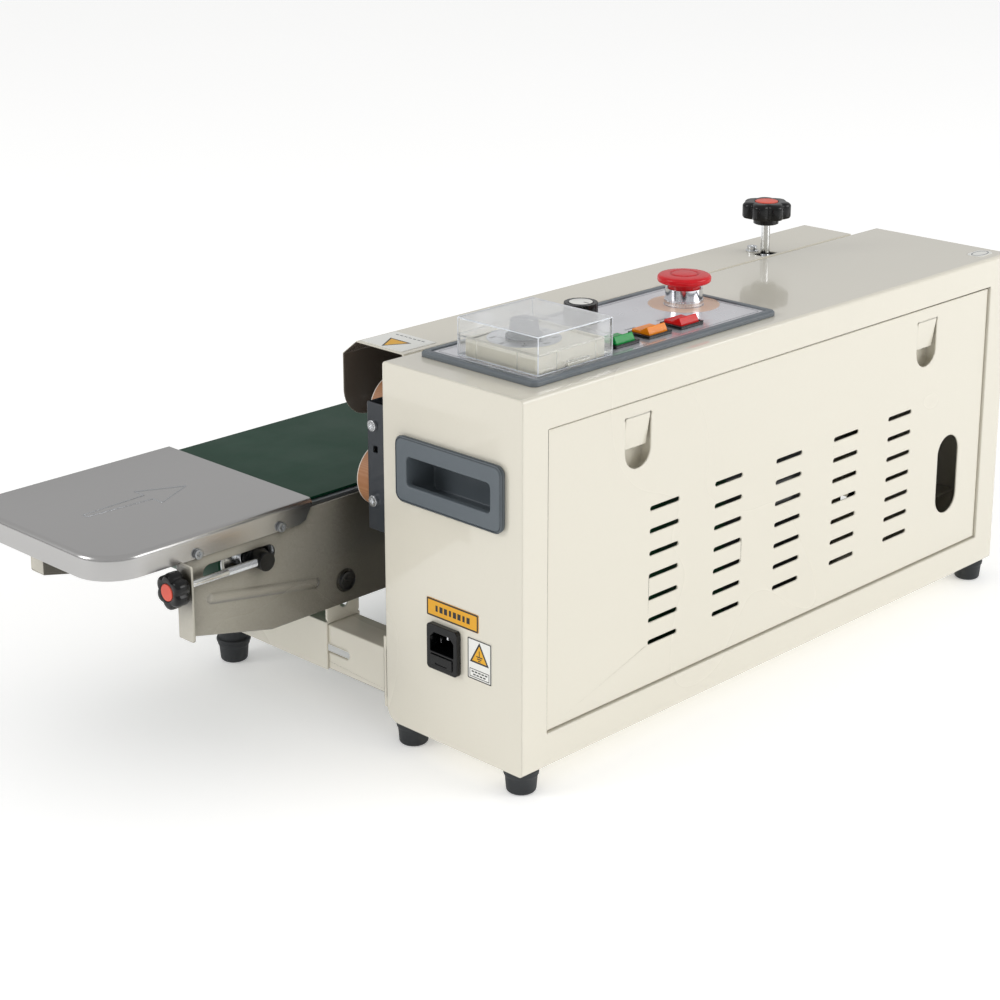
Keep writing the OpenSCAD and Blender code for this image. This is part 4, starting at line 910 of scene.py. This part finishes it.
def panel_prints():
    """Thin frame line, stop-button disc and rocker captions on the control panel."""

    def stick(name, loops, origin, material):
        stamp(name, loops, origin, X_AXIS, Y_AXIS, material)

    low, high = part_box("panel_plate")
    centre = Vector(((low.x + high.x) / 2, (low.y + high.y) / 2, high.z))
    w, d = (high.x - low.x) / MM, (high.y - low.y) / MM
    stick("panel_line", [rounded2d(w - 7, d - 7, 2), rounded2d(w - 8.2, d - 8.2, 1.6)], centre, GREY_PRINT)
    stop = Vector((middle("estop_collar").x, middle("estop_collar").y, high.z))
    stick("stop_disc", [circle2d(0, 0, 28, 72), circle2d(0, 0, 15.8, 48)], stop, HALO)
    for colour in ("green", "amber", "red"):
        spot = Vector((middle("rocker_" + colour).x, CORNER.y - 62 * MM, high.z))
        stick("caption_" + colour, [bar2d(-4.5 + 3 * k, 0, 2, 1.4) for k in range(4)], spot, GREY_PRINT)


def dial_prints():
    """Temperature scale round the knob, read from the operator's side: ticks and plain numbers."""
    low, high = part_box("temperature_knob")
    centre = Vector(((low.x + high.x) / 2, (low.y + high.y) / 2, at(0, 0, DIAL_FACE_Z + 0.3).z))
    first = 225
    sweep = 270
    count = 31
    inner = 15.2
    number_r = 22.2
    ticks = []
    for k in range(count):
        angle = math.radians(first - sweep * k / (count - 1))
        long_tick = k % 5 == 0
        outer = 18.4 if long_tick else 17
        half = 0.32 if long_tick else 0.18
        c, s = math.cos(angle), math.sin(angle)
        ticks.append([(r * c - side * half * s, r * s + side * half * c)
                      for r, side in ((inner, 1), (outer, 1), (outer, -1), (inner, -1))])
    stamp("dial_ticks", ticks, centre, X_AXIS, Y_AXIS, INK)
    for k in range(7):
        angle = math.radians(first - sweep * k / 6)
        spot = centre + Vector((math.cos(angle), math.sin(angle), 0)) * number_r * MM
        number = numeral("dial_number_%d" % k, str(50 * k), 4.4, spot, X_AXIS, Y_AXIS)
        finish_piece(number, "machine", INK)
    face = Vector((centre.x, centre.y, high.z))
    stamp("temperature_pointer", [bar2d(0, 6.6, 1.1, 6.4)], face, X_AXIS, Y_AXIS, WHITE,
          body="temperature_dial")


def speed_pointer():
    """Pale cap of the speed knob and the mark on it."""
    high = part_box("speed_knob")[1]
    centre = middle("speed_knob")
    seat = Vector((centre.x, centre.y, high.z - 0.5 * MM))
    disc = turned("speed_cap", [(9.3, 0), (9.3, 0.3), (8.9, 0.5), (2, 0.6)], seat, Z_AXIS)
    finish_piece(disc, "speed_dial", WHITE)
    face = Vector((centre.x, centre.y, high.z + 0.1 * MM))
    stamp("speed_mark", [bar2d(0, 5.6, 1, 5.2)], face, X_AXIS, Y_AXIS, INK,
          body="speed_dial")


def inlet_blades():
    """Bright contact blades in the mains inlet, each narrower at its tip."""
    half_x, half_y, half_z = 7.2, 1.08, 2.08
    tip = 0.7
    square = ((-1, -1), (1, -1), (1, 1), (-1, 1))
    for k, (y, z) in enumerate(((-7, 3), (7, 3), (0, 7))):
        spot = at(*INLET_MIDDLE) + Vector((0, y, z)) * MM
        rings = []
        for x, taper in ((-half_x, 1.0), (half_x - tip, 1.0), (half_x, 0.6)):
            y1, z1 = half_y * taper, half_z * taper
            rings.append([spot + Vector((x, sy * y1, sz * z1)) * MM for sy, sz in square])
        blade = mesh_object("inlet_blade_%d" % k, *skin(rings), smooth=False)
        finish_piece(blade, "machine", MATERIALS["chrome"])


# ---------------------------------------------------------------- studio

def studio():
    """Pale floor, a sky that is dimmer at the horizon, and two large soft lamps."""
    floor = mesh_object("floor", [(-9, -9, 0), (9, -9, 0), (9, 9, 0), (-9, 9, 0)], [(0, 1, 2, 3)])
    pale = Finish("floor_pale", "FDFDFC", 0.7, Emission_Color=(1.0, 1.0, 1.0, 1.0), Emission_Strength=0.3)
    pale.tint(pale.noise(0.8, detail=1), "FAFAF9", 0.3)
    floor.data.materials.append(pale.material)
    world = bpy.data.worlds.new("studio")
    bpy.context.scene.world = world
    world.use_nodes = True
    tree = world.node_tree
    place = tree.nodes.new("ShaderNodeTexCoord").outputs["Generated"]
    split = tree.nodes.new("ShaderNodeSeparateXYZ")
    tree.links.new(place, split.inputs["Vector"])
    fall = tree.nodes.new("ShaderNodeValToRGB")
    fall.color_ramp.elements[0].position = 0.02
    fall.color_ramp.elements[0].color = (0.62, 0.62, 0.62, 1.0)
    fall.color_ramp.elements[1].position = 0.3
    fall.color_ramp.elements[1].color = (1.0, 1.0, 1.0, 1.0)
    tree.links.new(split.outputs["Z"], fall.inputs["Fac"])
    tree.links.new(fall.outputs["Color"], tree.nodes["Background"].inputs["Color"])
    tree.nodes["Background"].inputs["Strength"].default_value = 0.63
    bpy.context.scene.view_settings.view_transform = "Standard"
    lights = (
        # name, position, target, width, height, power
        ("key_rear_side", (-1.9, 2.9, 1.5), (-0.1, 0.2, 0.15), 2.4, 1.6, 44),
        ("fill_infeed", (3.1, -1.5, 1.9), (0.25, 0.0, 0.2), 1.4, 1.4, 32),
    )
    for name, position, target, width, height, power in lights:
        data = bpy.data.lights.new(name, "AREA")
        data.shape = "RECTANGLE"
        data.size = width
        data.size_y = height
        data.energy = power
        lamp = bpy.data.objects.new(name, data)
        bpy.context.scene.collection.objects.link(lamp)
        lamp.location = position
        lamp.rotation_mode = "QUATERNION"
        lamp.rotation_quaternion = (Vector(target) - Vector(position)).to_track_quat("-Z", "Y")


def camera():
    """Looks at the rear and infeed end from above, through a long lens."""
    data = bpy.data.cameras.new("camera")
    view = bpy.data.objects.new("camera", data)
    bpy.context.scene.collection.objects.link(view)
    bpy.context.scene.camera = view
    data.sensor_width = 36
    data.lens = 79.35
    data.shift_x = -0.0014
    data.shift_y = -0.15
    turn = math.radians(134.437)
    rise = math.radians(15.909)
    back = Vector((math.sin(turn) * math.cos(rise), -math.cos(turn) * math.cos(rise), math.sin(rise)))
    view.location = Vector((1.29080, 1.18038, 0.73759))
    view.rotation_mode = "QUATERNION"
    view.rotation_quaternion = (-back).to_track_quat("-Z", "Y")
    data.clip_start = 0.02
    data.clip_end = 60


paint_frame()
for node_name, (edge_radius, edge_steps) in EDGES.items():
    soften(NODES[node_name], edge_radius, edge_steps, node_name not in KEEP_FACES)
pressure_screw()
pressure_coil()
tension_screws()
lock_screws()
infeed_plate()
labels_on_end()
stickers_on_top()
panel_prints()
dial_prints()
speed_pointer()
inlet_blades()
cover_edge_highlights()
height_bolt_heads()
studio()
camera()
